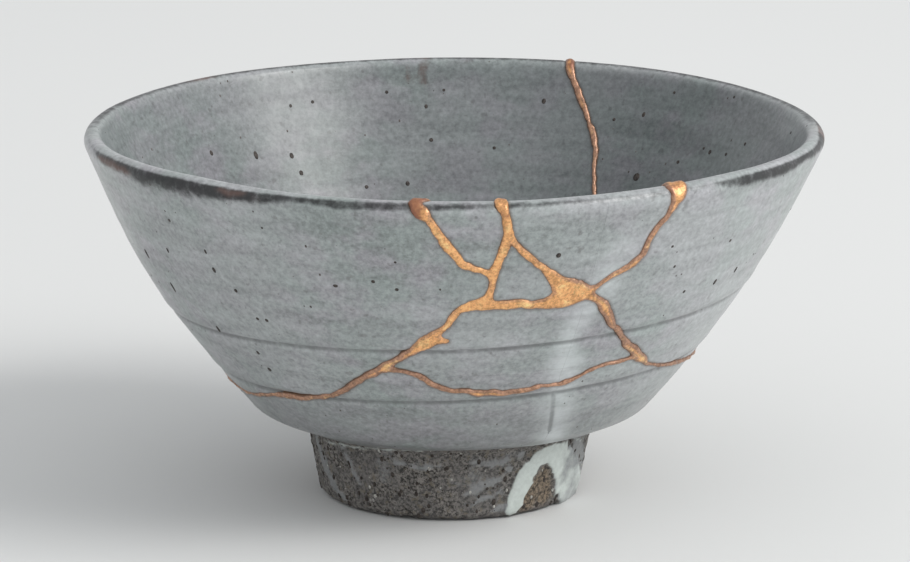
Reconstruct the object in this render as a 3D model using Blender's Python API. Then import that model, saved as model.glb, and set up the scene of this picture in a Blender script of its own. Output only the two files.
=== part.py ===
"""A stoneware tea bowl that broke into seven sherds and was joined again with gold lacquer.

Each sherd is a solid of its own. The lacquer is one connected network: it fills the cracks
right through the wall and stands a little proud of both faces.

Metres, +Z up. The origin is on the ground, in the middle of the bowl's outline from above.
The front, where most cracks meet, faces -Y. An angle is counted from the front towards +X.
"""

import math

import bmesh
import bpy
from mathutils import Vector
from mathutils.bvhtree import BVHTree
from mathutils.geometry import interpolate_bezier

MM = 0.001

# The bowl as it left the wheel
HEIGHT = 76.0 * MM
RIM_RADIUS = 75.0 * MM
LIP_THICKNESS = 3.7 * MM
WALL_THICKNESS = 6.3 * MM
BASE_THICKNESS = 8.2 * MM
RIM_FLARE = math.radians(24)
RIM_LEAN = 1.1 * MM

# The turned foot: a ring that widens upwards, round a shallow recess
FOOT_RADIUS = 27.0 * MM
FOOT_WIDENING = 2.7 * MM
FOOT_HEIGHT = 14.6 * MM
FOOT_RING_WIDTH = 6.4 * MM
FOOT_RECESS_DEPTH = 8.6 * MM
FOOT_EDGE = 0.9 * MM

# The shoulder, where the wall leaves the underside
SHOULDER_STEP = 11.7 * MM
SHOULDER_RISE = 5.6 * MM
SHOULDER_FLARE = math.radians(40)

# Two lines that the turning tool left round the outside, a little askew
GROOVES_ABOVE_SHOULDER = (10.5 * MM, 22.8 * MM)
GROOVE_TILT = 2.4 * MM
GROOVE_DEPTH = 0.45 * MM
GROOVE_WIDTH = 1.8 * MM

# The gold lacquer
SEAM_WIDTH = 1.7 * MM
SEAM_PROUD = 0.4 * MM
JOINT_GAP = 0.3 * MM

# How finely the round forms are cut
ROUND_STEPS = 60
LIP_STEPS = 5
CURVE_STEPS = 4
WALL_ROW_SPACING = 6.3 * MM
MERGE = 0.002 * MM

# Handles of the curves: the wall's and the underside's as shares of their chord, and the
# floor's as shares of its radius
WALL_HANDLE_SHARES = (0.38, 0.39)
UNDERSIDE_HANDLE_SHARES = (0.43, 0.2)
UNDERSIDE_RISE = math.radians(35)
FLOOR_HANDLE_SHARES = (0.16, 0.4)

# The recess's corner, as shares of its radius and depth, and where its flat middle ends
RECESS_CORNER_SHARES = (0.93, 0.9)
RECESS_MIDDLE_SHARE = 0.6

# The lean turns about this share of the height, which keeps the outline centred
LEAN_PIVOT_SHARE = 0.6

# How far each ribbon runs on past a junction, as a share of its half width, and how far it
# stands out of the wall, as a multiple of how proud the lacquer stands
JUNCTION_LAP_SHARE = 0.6
RIBBON_REACH_RATIO = 4

# The cracks: angle in degrees, share of the height, and share of the usual seam width.
# A crack that opens at the rim starts above it, so that the lacquer goes over the lip.
# The waist runs from the right of the triangle right round the back to the left of it.
CRACKS = {
    "left_rim": (
        (-6.0, 1.05, 1.6), (-5.2, 0.985, 1.5), (-4.2, 0.965, 1.2), (-2.9, 0.938, 1.0),
        (-1.3, 0.896, 1.1), (0.8, 0.851, 1.1), (3.0, 0.821, 0.95), (6.6, 0.797, 0.8),
    ),
    "middle_rim": (
        (7.0, 1.05, 1.5), (7.2, 0.985, 1.4), (7.5, 0.965, 1.05), (8.2, 0.913, 1.1),
    ),
    "triangle_left": (
        (8.2, 0.913, 1.0), (7.8, 0.871, 1.15), (7.1, 0.829, 1.15), (6.6, 0.792, 1.0),
        (6.4, 0.755, 0.85), (5.6, 0.72, 1.6),
    ),
    "triangle_right": (
        (8.2, 0.913, 0.8), (9.5, 0.883, 0.75), (11.1, 0.855, 0.9), (13.1, 0.83, 0.9),
        (15.2, 0.801, 1.1), (17.1, 0.772, 1.4), (18.9, 0.748, 2.3), (21.0, 0.731, 2.6),
    ),
    "triangle_foot": (
        (5.2, 0.706, 1.4), (9.2, 0.707, 1.25), (13.2, 0.705, 1.25), (15.5, 0.706, 1.4),
        (18.3, 0.711, 2.3), (21.5, 0.724, 2.3), (23.2, 0.728, 1.5),
    ),
    "right_rim": (
        (22.5, 0.731, 1.2), (24.6, 0.743, 0.65), (27.2, 0.776, 0.65), (29.7, 0.791, 0.7),
        (31.4, 0.822, 0.8), (31.9, 0.863, 0.7), (32.8, 0.9, 0.75), (33.9, 0.933, 1.05),
        (34.6, 0.966, 1.5), (35.0, 0.992, 2.6), (35.2, 1.05, 2.8),
    ),
    "waist": (
        (22.5, 0.728, 1.3), (25.1, 0.707, 0.95), (27.5, 0.676, 1.35), (30.2, 0.629, 0.95),
        (33.2, 0.584, 0.8), (37.7, 0.536, 1.05), (42.2, 0.497, 1.15), (47.1, 0.463, 0.75),
        (52.1, 0.447, 0.6), (64.0, 0.418, 0.6), (80.0, 0.405, 0.6), (97.0, 0.386, 0.7),
        (115.0, 0.378, 0.6), (132.0, 0.39, 0.65), (147.0, 0.383, 0.8), (165.0, 0.36, 0.6),
        (182.0, 0.348, 0.6), (200.0, 0.361, 0.7), (218.0, 0.367, 0.6), (236.0, 0.35, 0.55),
        (252.0, 0.343, 0.6), (270.0, 0.348, 0.6), (285.0, 0.341, 0.6), (297.5, 0.337, 0.6),
        (304.4, 0.347, 0.65), (313.9, 0.37, 0.7), (321.0, 0.378, 0.7), (326.8, 0.387, 0.75),
        (331.9, 0.401, 0.8), (336.0, 0.426, 0.85), (339.8, 0.454, 0.95), (343.3, 0.484, 1.0),
        (347.2, 0.514, 1.2), (349.8, 0.538, 0.95), (352.9, 0.567, 1.3), (355.4, 0.588, 2.0),
        (356.8, 0.612, 1.6), (358.6, 0.636, 0.95), (360.1, 0.668, 0.95), (361.5, 0.695, 1.05),
        (363.3, 0.706, 1.5), (366.0, 0.72, 2.0),
    ),
    "lower_loop": (
        (-12.5, 0.508, 1.0), (-9.5, 0.501, 0.6), (-6.9, 0.495, 0.7), (-5.0, 0.478, 0.9),
        (-2.6, 0.454, 0.8), (0.6, 0.445, 0.7), (6.3, 0.433, 1.0), (10.6, 0.433, 1.0),
        (15.2, 0.436, 0.9), (19.8, 0.445, 0.8), (25.5, 0.45, 0.9), (30.4, 0.475, 0.6),
        (36.0, 0.492, 0.6), (40.3, 0.493, 0.65), (43.7, 0.485, 0.9),
    ),
    "back_rim": (
        (158.7, 1.05, 1.3), (158.3, 0.965, 1.15), (156.7, 0.904, 1.0), (155.1, 0.865, 1.05),
        (153.1, 0.818, 0.9), (151.4, 0.783, 1.0), (150.4, 0.742, 0.85), (149.9, 0.707, 0.8),
        (148.9, 0.66, 0.75), (147.5, 0.6, 0.8), (148.2, 0.54, 0.8), (146.6, 0.48, 0.75),
        (147.0, 0.383, 0.8),
    ),
}

# A place on the outside of each sherd: angle in degrees and share of the height
SHERDS = {
    "base_sherd": (0.0, 0.3),
    "left_wall_sherd": (-60.0, 0.7),
    "right_wall_sherd": (80.0, 0.7),
    "small_rim_sherd": (2.5, 0.93),
    "wide_rim_sherd": (22.0, 0.88),
    "triangle_sherd": (10.5, 0.77),
    "lower_front_sherd": (15.0, 0.57),
}

GLAZE = (0.28, 0.31, 0.33, 1.0)
BARE_CLAY = (0.075, 0.065, 0.055, 1.0)
GOLD = (0.72, 0.36, 0.14, 1.0)


def foot_top():
    """The top of the foot's outside, as radius and height."""
    return Vector((FOOT_RADIUS + FOOT_WIDENING, FOOT_HEIGHT))


def shoulder():
    """Where the underside turns up into the wall, as radius and height."""
    return foot_top() + Vector((SHOULDER_STEP, SHOULDER_RISE))


def lip_middle():
    """The middle of the rounded lip, as radius and height."""
    return Vector((RIM_RADIUS - LIP_THICKNESS / 2, HEIGHT - LIP_THICKNESS / 2))


def wall_curve():
    """The four control points of the outside of the wall, from its shoulder to the lip."""
    start = shoulder()
    end = lip_middle() + LIP_THICKNESS / 2 * outward(RIM_FLARE)
    chord = (end - start).length
    first = start + WALL_HANDLE_SHARES[0] * chord * upward(SHOULDER_FLARE)
    last = end - WALL_HANDLE_SHARES[1] * chord * upward(RIM_FLARE)
    return start, first, last, end


def upward(flare):
    """The way up the wall where it flares from the vertical by this angle."""
    return Vector((math.sin(flare), math.cos(flare)))


def outward(flare):
    """The way out of the wall, square to it."""
    return Vector((math.cos(flare), -math.sin(flare)))


def wall_at(height):
    """Share of the way up the wall, point and flare at a height; straight on past both ends."""
    start, first, last, end = wall_curve()
    low, high = 0.0, 1.0
    for _ in range(30):
        share = (low + high) / 2
        rest = 1 - share
        point = (rest**3 * start + 3 * rest**2 * share * first
                 + 3 * rest * share**2 * last + share**3 * end)
        if point.y < height:
            low = share
        else:
            high = share
    slope = (rest**2 * (first - start) + 2 * rest * share * (last - first)
             + share**2 * (end - last))
    flare = math.atan2(slope.x, slope.y)
    beyond = (height - point.y) / math.cos(flare)
    return share, point + beyond * upward(flare), flare


def thickness_at(share):
    """The wall thins evenly from the shoulder to the lip."""
    return WALL_THICKNESS + (LIP_THICKNESS - WALL_THICKNESS) * share


def wall_rows(angle):
    """Heights of the rows of the outside of the wall, and how deep each is cut.

    The grooves tilt with the angle, and the plain rows between them follow evenly.
    """
    start, _, _, end = wall_curve()
    tilt = GROOVE_TILT * math.sin(angle)
    half = GROOVE_WIDTH / 2
    stations = [(start.y, 0.0, 0.0)]
    for rise in GROOVES_ABOVE_SHOULDER:
        middle = start.y + rise
        stations += [(middle - half, tilt, 0.0), (middle, tilt, GROOVE_DEPTH), (middle + half, tilt, 0.0)]
    stations.append((end.y, 0.0, 0.0))
    rows = [stations[0][::2]]
    for (low, low_tilt, low_depth), (high, high_tilt, depth) in zip(stations, stations[1:]):
        plain = low_depth == depth == 0.0
        steps = max(1, round((high - low) / WALL_ROW_SPACING)) if plain else 1
        for step in range(1, steps + 1):
            part = step / steps
            height = low + low_tilt + part * (high + high_tilt - low - low_tilt)
            rows.append((height, depth if step == steps else 0.0))
    return rows


def curve(start, first, last, end):
    """Points of a smooth curve in the section, without its last one."""
    handles = [point.to_3d() for point in (start, first, last, end)]
    return [point.to_2d() for point in interpolate_bezier(*handles, CURVE_STEPS + 1)[:-1]]


def foot_section():
    """The foot, from the axis under the bowl round its ring and out to the shoulder."""
    inner = FOOT_RADIUS - FOOT_RING_WIDTH
    points = [
        Vector((0.0, FOOT_RECESS_DEPTH)),
        Vector((inner * RECESS_MIDDLE_SHARE, FOOT_RECESS_DEPTH)),
        Vector((inner * RECESS_CORNER_SHARES[0], FOOT_RECESS_DEPTH * RECESS_CORNER_SHARES[1])),
        Vector((inner, FOOT_EDGE)),
        Vector((inner + FOOT_EDGE, 0.0)),
        Vector((FOOT_RADIUS - FOOT_EDGE, 0.0)),
        Vector((FOOT_RADIUS, FOOT_EDGE)),
    ]
    low, high = foot_top(), shoulder()
    chord = (high - low).length
    rising = Vector((math.cos(UNDERSIDE_RISE), math.sin(UNDERSIDE_RISE)))
    first = low + UNDERSIDE_HANDLE_SHARES[0] * chord * rising
    last = high - UNDERSIDE_HANDLE_SHARES[1] * chord * upward(SHOULDER_FLARE)
    return points + curve(low, first, last, high)


def inside_section(skin):
    """The inside, from below the lip down the wall and along the floor to the axis."""
    low, _, _, high = wall_curve()
    rows = 2 * CURVE_STEPS
    points = []
    for row in range(1, rows + 1):
        share, point, flare = wall_at(high.y + (low.y - high.y) * row / rows)
        points.append(point - (thickness_at(share) + skin) * outward(flare))
    edge = points.pop()
    well = Vector((0.0, FOOT_RECESS_DEPTH + BASE_THICKNESS + skin))
    first = edge - FLOOR_HANDLE_SHARES[0] * edge.x * upward(SHOULDER_FLARE)
    last = well + Vector((FLOOR_HANDLE_SHARES[1] * edge.x, 0.0))
    return points + curve(edge, first, last, well) + [well]


def section(angle, skin):
    """The cut through the bowl at one angle, from the axis below round to the axis inside."""
    points = foot_section()
    for height, depth in wall_rows(angle)[:-1]:
        _, point, flare = wall_at(height)
        points.append(point + (skin - depth) * outward(flare))
    for step in range(LIP_STEPS + 1):
        turn = RIM_FLARE - math.pi * step / LIP_STEPS
        points.append(lip_middle() + (LIP_THICKNESS / 2 + skin) * outward(turn))
    return points + inside_section(skin)


def turned(angle, way):
    """A direction in the section, turned to its angle round the bowl."""
    return Vector((way.x * math.sin(angle), -way.x * math.cos(angle), way.y))


def place(angle, point):
    """A point of the section, carried to its angle and leant with the rim."""
    return turned(angle, point) + Vector((RIM_LEAN * (point.y / HEIGHT - LEAN_PIVOT_SHARE), 0.0, 0.0))


def solid_of(name, mesh):
    """Closes a bmesh into an object, with its faces pointing out."""
    bmesh.ops.remove_doubles(mesh, verts=mesh.verts, dist=MERGE / 2)
    bmesh.ops.recalc_face_normals(mesh, faces=mesh.faces)
    data = bpy.data.meshes.new(name)
    mesh.to_mesh(data)
    mesh.free()
    solid = bpy.data.objects.new(name, data)
    bpy.context.scene.collection.objects.link(solid)
    return solid


def turned_bowl(name, skin):
    """The whole bowl, turned round its axis; skin thickens it on both faces."""
    mesh = bmesh.new()
    rings = []
    for step in range(ROUND_STEPS):
        angle = math.tau * step / ROUND_STEPS
        rings.append([mesh.verts.new(place(angle, point)) for point in section(angle, skin)])
    for ring, following in zip(rings, rings[1:] + rings[:1]):
        for low, high, far_high, far_low in zip(ring, ring[1:], following[1:], following):
            mesh.faces.new((low, high, far_high, far_low))
    return solid_of(name, mesh)


def blade(name, crack, spare):
    """A ribbon that follows one crack and passes right through the wall."""
    reach = RIBBON_REACH_RATIO * SEAM_PROUD
    middles, normals, halves, depths = [], [], [], []
    for degrees, share, width in crack:
        angle = math.radians(degrees)
        up_the_wall, point, flare = wall_at(share * HEIGHT)
        way_out = outward(flare)
        middles.append(place(angle, point))
        normals.append(turned(angle, way_out))
        halves.append(width * SEAM_WIDTH / 2 + spare)
        depths.append(thickness_at(up_the_wall) + reach)
    runs = [(after - before).normalized()
            for before, after in zip(middles[:1] + middles, middles[1:] + middles[-1:])]
    runs = [(run + following).normalized() for run, following in zip(runs, runs[1:])]
    runs = [(middles[1] - middles[0]).normalized()] + runs[1:]
    runs.append((middles[-1] - middles[-2]).normalized())
    middles[0] -= runs[0] * halves[0] * JUNCTION_LAP_SHARE
    middles[-1] += runs[-1] * halves[-1] * JUNCTION_LAP_SHARE
    mesh = bmesh.new()
    rings = []
    for middle, normal, run, half, depth in zip(middles, normals, runs, halves, depths):
        side = normal.cross(run).normalized() * half
        top, bottom = middle + normal * reach, middle - normal * depth
        corners = (top + side, top - side, bottom - side, bottom + side)
        rings.append([mesh.verts.new(corner) for corner in corners])
    for ring, following in zip(rings, rings[1:]):
        for corner in range(4):
            beside = (corner + 1) % 4
            mesh.faces.new((ring[corner], ring[beside], following[beside], following[corner]))
    mesh.faces.new(rings[0])
    mesh.faces.new(rings[-1])
    return solid_of(name, mesh)


def combine(solid, operation, tools):
    """Adds one exact Boolean to the solid for each tool."""
    for tool in tools:
        modifier = solid.modifiers.new(tool.name, "BOOLEAN")
        modifier.operation = operation
        modifier.solver = "EXACT"
        modifier.use_self = True
        modifier.object = tool
        tool.hide_render = True
        tool.display_type = "WIRE"


def crack_network(spare):
    """The ribbons of all the cracks; the first one carries the union of them all."""
    ribbons = [blade(f"ribbon_{name}", crack, spare) for name, crack in CRACKS.items()]
    combine(ribbons[0], "UNION", ribbons[1:])
    return ribbons


def settled(solid):
    """A bmesh of the solid as its modifiers leave it."""
    bpy.context.view_layer.update()
    evaluated = solid.evaluated_get(bpy.context.evaluated_depsgraph_get())
    mesh = bmesh.new()
    mesh.from_mesh(evaluated.to_mesh())
    evaluated.to_mesh_clear()
    bmesh.ops.remove_doubles(mesh, verts=mesh.verts, dist=MERGE)
    bmesh.ops.dissolve_degenerate(mesh, edges=mesh.edges, dist=MERGE)
    return mesh


def islands(mesh):
    """The separate bodies of a bmesh, each as a list of its faces."""
    bodies = []
    for start in mesh.faces:
        if start.tag:
            continue
        start.tag = True
        body = [start]
        for face in body:
            for edge in face.edges:
                for near in edge.link_faces:
                    if not near.tag:
                        near.tag = True
                        body.append(near)
        bodies.append(body)
    return bodies


def body_mesh(faces):
    """A bmesh that holds only these faces."""
    mesh = bmesh.new()
    copies = {}
    for face in faces:
        for vertex in face.verts:
            if vertex not in copies:
                copies[vertex] = mesh.verts.new(vertex.co)
        mesh.faces.new([copies[vertex] for vertex in face.verts])
    return mesh


def finish(solid, material, sharp=math.radians(40)):
    """Gives a solid its material and smooth shading."""
    solid.data.materials.append(material)
    solid.data.shade_smooth()
    solid.data.set_sharp_from_angle(angle=sharp)


def coloured(name, colour, roughness, metallic):
    material = bpy.data.materials.new(name)
    material.use_nodes = True
    shader = material.node_tree.nodes["Principled BSDF"]
    shader.inputs["Base Color"].default_value = colour
    shader.inputs["Roughness"].default_value = roughness
    shader.inputs["Metallic"].default_value = metallic
    material.diffuse_color = colour
    return material


def make_sherds():
    """Cuts the bowl along its cracks and names the pieces by the place each one covers."""
    bowl = turned_bowl("whole_bowl", 0.0)
    ribbons = crack_network(JOINT_GAP)
    combine(bowl, "DIFFERENCE", ribbons[:1])
    broken = settled(bowl)
    bodies = [body_mesh(faces) for faces in islands(broken)]
    broken.free()
    trees = [BVHTree.FromBMesh(body) for body in bodies]
    glaze = coloured("grey_blue_glaze", GLAZE, 0.4, 0.0)
    clay = coloured("bare_clay", BARE_CLAY, 0.85, 0.0)
    for name, (degrees, share) in SHERDS.items():
        mark = place(math.radians(degrees), wall_at(share * HEIGHT)[1])
        nearest = min(range(len(bodies)), key=lambda index: trees[index].find_nearest(mark)[3])
        sherd = solid_of(name, bodies[nearest].copy())
        finish(sherd, glaze)
        if name == "base_sherd":
            sherd.data.materials.append(clay)
            for face in sherd.data.polygons:
                face.material_index = int(face.center.z < FOOT_HEIGHT)
    for body in bodies:
        body.free()
    for tool in ribbons + [bowl]:
        bpy.data.objects.remove(tool)


def make_seams():
    """The lacquer: the cracks' own ribbons, cut to the bowl's wall and a little proud of it."""
    ribbons = crack_network(0.0)
    skin = turned_bowl("skin", SEAM_PROUD)
    combine(ribbons[0], "INTERSECT", [skin])
    seams = solid_of("gold_seams", settled(ribbons[0]))
    finish(seams, coloured("gold_lacquer", GOLD, 0.35, 0.9))
    for tool in ribbons + [skin]:
        bpy.data.objects.remove(tool)


def main():
    for leftover in list(bpy.data.objects):
        bpy.data.objects.remove(leftover)
    make_sherds()
    make_seams()


main()
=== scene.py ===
"""Dresses a tea bowl that was broken and joined again with gold lacquer.

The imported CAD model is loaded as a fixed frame. Each sherd and the lacquer are rebuilt over
it as finer closed meshes with their glaze, clay and gold. Lengths are in millimetres while a
mesh is worked out, and in metres in Blender. An angle is counted from the front (-Y) towards
+X. A row is the distance up the outside of the section from the shoulder: below zero on the
underside and the foot, and at its highest on the crest of the lip, where both faces meet.
"""

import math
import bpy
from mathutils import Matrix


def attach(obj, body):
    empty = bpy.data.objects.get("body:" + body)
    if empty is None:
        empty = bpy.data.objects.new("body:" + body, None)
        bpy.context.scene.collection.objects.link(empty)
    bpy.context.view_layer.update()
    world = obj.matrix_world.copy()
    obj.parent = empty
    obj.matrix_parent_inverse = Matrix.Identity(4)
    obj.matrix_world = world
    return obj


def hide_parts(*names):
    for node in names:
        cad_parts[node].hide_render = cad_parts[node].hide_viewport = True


bl_info = {
    "name": "Kintsugi Tea Bowl",
    "version": (1, 0, 0),
    "blender": (4, 5, 0),
    "location": "3D View > Sidebar > Tea Bowl",
    "description": "Builds a stoneware tea bowl joined with gold lacquer, piece by piece",
    "category": "Add Mesh",
}

import bmesh
import bpy
import numpy as np
from bpy.props import FloatProperty, FloatVectorProperty, IntProperty, PointerProperty
from mathutils import Vector

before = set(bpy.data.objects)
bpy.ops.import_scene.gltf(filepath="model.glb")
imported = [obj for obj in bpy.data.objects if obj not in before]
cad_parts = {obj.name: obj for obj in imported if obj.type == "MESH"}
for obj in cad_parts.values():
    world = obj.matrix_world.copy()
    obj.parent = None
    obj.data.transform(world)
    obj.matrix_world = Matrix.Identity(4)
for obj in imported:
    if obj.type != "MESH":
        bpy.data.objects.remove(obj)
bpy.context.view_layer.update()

MM = 0.001

# The section of the bowl, as in the CAD source (mm and radians)
HEIGHT = 76.0
RIM_RADIUS = 75.0
LIP_THICKNESS = 3.7
WALL_THICKNESS = 6.3
BASE_THICKNESS = 8.2
RIM_FLARE = math.radians(24)
RIM_LEAN = 1.1
LEAN_PIVOT_SHARE = 0.6
FOOT_RADIUS = 27.0
FOOT_WIDENING = 2.7
FOOT_HEIGHT = 14.6
FOOT_RING_WIDTH = 6.4
FOOT_RECESS_DEPTH = 8.6
FOOT_EDGE = 0.9
SHOULDER_STEP = 11.7
SHOULDER_RISE = 5.6
SHOULDER_FLARE = math.radians(40)
WALL_HANDLE_SHARES = (0.38, 0.39)
UNDERSIDE_HANDLE_SHARES = (0.43, 0.2)
UNDERSIDE_RISE = math.radians(35)
FLOOR_HANDLE_SHARES = (0.16, 0.4)

# The thrown rim isn't quite level: angle (degrees) and lift (mm); it starts this far up the wall
RIM_LIFT = (
    (-90, 0), (-75, 0.45), (-60, 0.9), (-42, 1.15), (-25, 0.85), (-10, 0.55), (0, 0.5),
    (12, 0.55), (25, 0.75), (38, 0.95), (50, 1.05), (62, 0.9), (76, 0.45), (90, 0),
)
LIFT_START = 44.0

# The mean height at which the glaze ends over the foot
GLAZE_END = 16.6

# Worn gold on the lip: angle and reach (degrees), strength, and the rise (mm) over which it starts
RIM_WEAR = ((-6, 2.2, 0.95, 0), (7.2, 1.5, 0.6, 0), (35, 3, 0.55, 1.6), (158.5, 3, 0.6, 0))

# The swelling of the left wall: angle and height of its middle, its reach round and up, its depth
SWELLING = (-88.0, 50.0, 38.0, 15.0, 0.9)

# A faint short groove: angle and height of its middle, half its length (degrees), width and depth
FAINT_GROOVE = (-23.0, 57.3, 9.0, 0.45, 0.16)

# The turning grooves: height in front, and how far they tilt
GROOVE_HEIGHTS = (31.3, 43.8)
GROOVE_TILT = 2.5

# The cracks: angle (degrees), height (mm) and full width (mm) of points along each one
CRACKS = {
    "left_rim": (
        (-6.2, 79.8, 3.6), (-5.6, 75.8, 2.5), (-4.9, 74.6, 2.7), (-4, 73.3, 2.16),
        (-3.1, 71.6, 1.94), (-2.2, 69.9, 1.94), (-1.5, 68.4, 2.16), (-0.5, 66.4, 1.94),
        (0.6, 65.1, 2.16), (1.6, 63.3, 2.27), (2.8, 62.7, 1.94), (4, 62.1, 1.73), (6.2, 61.1, 1.51),
    ),
    "middle_rim": (
        (7, 79.8, 2.6), (6.9, 75.8, 2.5), (7.4, 73.7, 1.8), (7.8, 71.5, 1.8), (8.1, 69.5, 2),
    ),
    "triangle_left": (
        (8.1, 70, 1.8), (7.7, 66.5, 2), (6.9, 63.4, 2), (6.4, 60.7, 1.75), (6.3, 58.4, 1.5),
        (6, 56, 2), (5.4, 54.8, 3),
    ),
    "triangle_right": (
        (8.1, 70, 1.2), (9.4, 67.4, 1.4), (11, 65.3, 1.6), (12.9, 63.5, 1.7), (15, 61.3, 2),
        (16.9, 59.2, 2.8), (18.4, 57.5, 4.4), (20, 56.4, 6),
    ),
    "triangle_foot": (
        (5, 54.5, 2.7), (9, 54.5, 2.6), (13, 54.5, 2.6), (15.3, 54.4, 2.9), (18.1, 54.9, 4.4),
        (20.8, 55.7, 4.7), (22.8, 55.8, 2.8),
    ),
    "right_rim": (
        (22.4, 56.3, 1.6), (24.4, 57, 1.38), (25.5, 58.2, 1.38), (27, 59.3, 1.38),
        (28.1, 59.9, 1.5), (29.5, 60.4, 1.62), (30.3, 61.2, 1.62), (31.3, 62.6, 1.75),
        (31.7, 65.6, 1.62), (32.8, 68.3, 1.69), (33.9, 70.7, 1.8), (34.5, 73, 2.7),
        (34.9, 75.4, 4.4), (35.2, 79.8, 5),
    ),
    "waist": (
        (22.3, 55.8, 2.4), (24.9, 54.2, 1.7), (27.3, 51.9, 2.4), (29.9, 48.4, 1.6), (32.9, 45, 1.4),
        (37.2, 41.3, 1.8), (41.5, 38.5, 2), (46.2, 35.9, 1.4), (51, 34.7, 1.18),
        (58, 33.1, 1.12), (67.5, 32.1, 1.12), (83, 30.7, 1.05), (97, 29.3, 1.2),
        (115, 28.7, 1), (132, 29.6, 1.1), (147, 29.1, 1.35), (165, 27.4, 1),
        (182, 26.5, 1.05), (200, 27.4, 1.2), (218, 27.9, 1), (236, 26.6, 0.95),
        (252, 26.1, 1), (270, 26.4, 1), (285, 25.9, 1), (295.8, 25.6, 1.12),
        (303.4, 26.6, 1.12), (313.3, 28.4, 1.29), (320.6, 29.1, 1.29), (326.4, 29.9, 1.34),
        (331.6, 31, 1.51), (335.7, 32.9, 1.4), (339.5, 35.1, 1.55), (343.1, 37.4, 1.7),
        (346.9, 39.7, 2), (349.5, 41.5, 1.6), (352.6, 43.7, 2.1), (354.9, 45.5, 3.2),
        (356.2, 47.2, 2.5), (358.3, 48.9, 1.7), (359.9, 51.4, 1.6), (361.3, 53.4, 1.8),
        (363.1, 54.3, 2.4), (365.4, 55, 3.2),
    ),
    "drip": ((-4.7, 45.8, 2.8), (-3, 46.5, 2.9), (-1.2, 46.3, 1.5)),
    "lower_loop": (
        (-12.8, 39.2, 1.68), (-9.8, 38.7, 1.12), (-7.2, 38.3, 1.23), (-5.3, 37, 1.68),
        (-2.9, 35.2, 1.46), (0.3, 34.4, 1.29), (3.7, 34, 1.46), (5.9, 33.5, 1.9), (10.2, 33.5, 1.9),
        (14.7, 33.7, 1.68), (19.3, 34.5, 1.46), (22.5, 34.7, 1.29), (25, 34.9, 1.68),
        (27.2, 35.8, 1.12), (29.8, 36.8, 1.12), (32.8, 37.7, 1.12), (35.4, 38.1, 1.12),
        (39.6, 38.2, 1.23), (42.9, 37.6, 1.57),
    ),
    "back_rim": (
        (160.8, 79.8, 2.8), (159.7, 74.3, 2.3), (158.6, 71.4, 1.7), (157.1, 68.7, 1.6),
        (155.5, 65.7, 1.6), (153.5, 62.2, 1.4), (151.8, 59.4, 1.5), (150.8, 56.4, 1.3),
        (150.3, 53.7, 1.2), (149.2, 50.1, 1.15), (147.5, 45.6, 1.2), (148.2, 41, 1.2),
        (146.6, 36.5, 1.2), (147, 29.1, 1.3),
    ),
}
CRACK_STEP = 0.9
WAVER = 0.34
THINNEST_HALF = 0.45

# The crack field: where its grid lies, and how near to a crack the sherds' faces are divided
FIELD_RADIUS = 62.0
FIELD_LOWEST = 22.0
NEAR_CRACK = 0.8
SHERD_EDGE = -0.12

# Each sherd's piece: the CAD node it stands for, and a place on it (degrees, mm up)
SHERDS = {
    "glazed_base": ("base_sherd", 0, 23),
    "glazed_left_wall": ("left_wall_sherd", -60, 53),
    "glazed_right_wall": ("right_wall_sherd", 80, 53),
    "glazed_small_rim": ("small_rim_sherd", 2.5, 70.7),
    "glazed_wide_rim": ("wide_rim_sherd", 22, 66.9),
    "glazed_triangle": ("triangle_sherd", 10.5, 58.5),
    "glazed_lower_front": ("lower_front_sherd", 15, 43.3),
}

# Painted strokes: angle (degrees), height (mm) and half width (mm) along each one
PALE_RUN = (
    (27.6, 70, 0.6), (27, 66.1, 2.2), (25.9, 61.9, 2.6), (25.3, 56.1, 2.6), (23.8, 52.7, 2.4),
    (22.4, 49.1, 2.6), (22.1, 42.9, 2.8), (23.4, 36.7, 2.9), (25.6, 30.3, 2.9), (27.3, 25, 2.7),
    (29.7, 19, 2.4), (31, 16, 1.6),
)
FOOT_ARCH = (
    (28.5, 2.1, 1.8), (30.2, 5.4, 2.3), (32.9, 9.1, 2.1), (37.5, 12, 1.8), (44, 12.6, 2), (51, 11.2, 3),
    (57, 8.2, 4.2), (62.5, 4.8, 4.6), (66, 2.4, 3.8),
)
FOOT_STREAKS = (
    ((25, 10.8, 0.7), (20.8, 8.8, 1), (13.6, 7.6, 1.1), (7.8, 6.2, 0.6)),
    ((22.5, 6.2, 0.4), (15, 4.6, 0.8), (8, 3.4, 0.5)),
    ((30, 13.6, 0.7), (17, 12.4, 0.9), (9, 13, 0.4)),
    ((26, 3, 0.6), (19, 1.9, 0.5)),
    ((-68, 13, 1.2), (-64, 8, 1.7), (-58, 4, 1.3), (-50, 2, 0.8)),
    ((-47, 13.6, 0.5), (-43, 9, 0.5), (-40, 6, 0.3)),
    ((-22, 12.6, 0.3), (-12, 11.6, 0.5), (-4, 12.4, 0.3)),
    ((62, 13, 1.6), (70, 9, 3), (76, 4, 3.2)),
    ((118, 12, 0.9), (126, 8.5, 1.1), (131, 4.6, 0.7)),
    ((205, 11.5, 0.8), (211, 8, 1), (214, 5, 0.6)),
)
RUST_PATCH = ((36, 2.4, 2.2), (39.5, 6, 2.4), (43, 8, 1.9), (45, 3.4, 2.4))
BACK_SMEARS = (
    ((-174.8, 75, 1.1), (-174.4, 73, 1.6), (-174.8, 70.6, 0.9)),
    ((-172, 74.4, 0.7), (-171.8, 72.6, 0.9), (-172, 71.4, 0.5)),
)

# The short dark line in the pale run: heights and angles of its two ends
DASH_HEIGHTS = (22.5, 31.8)
DASH_ANGLES = (26.8, 23.3)

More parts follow.
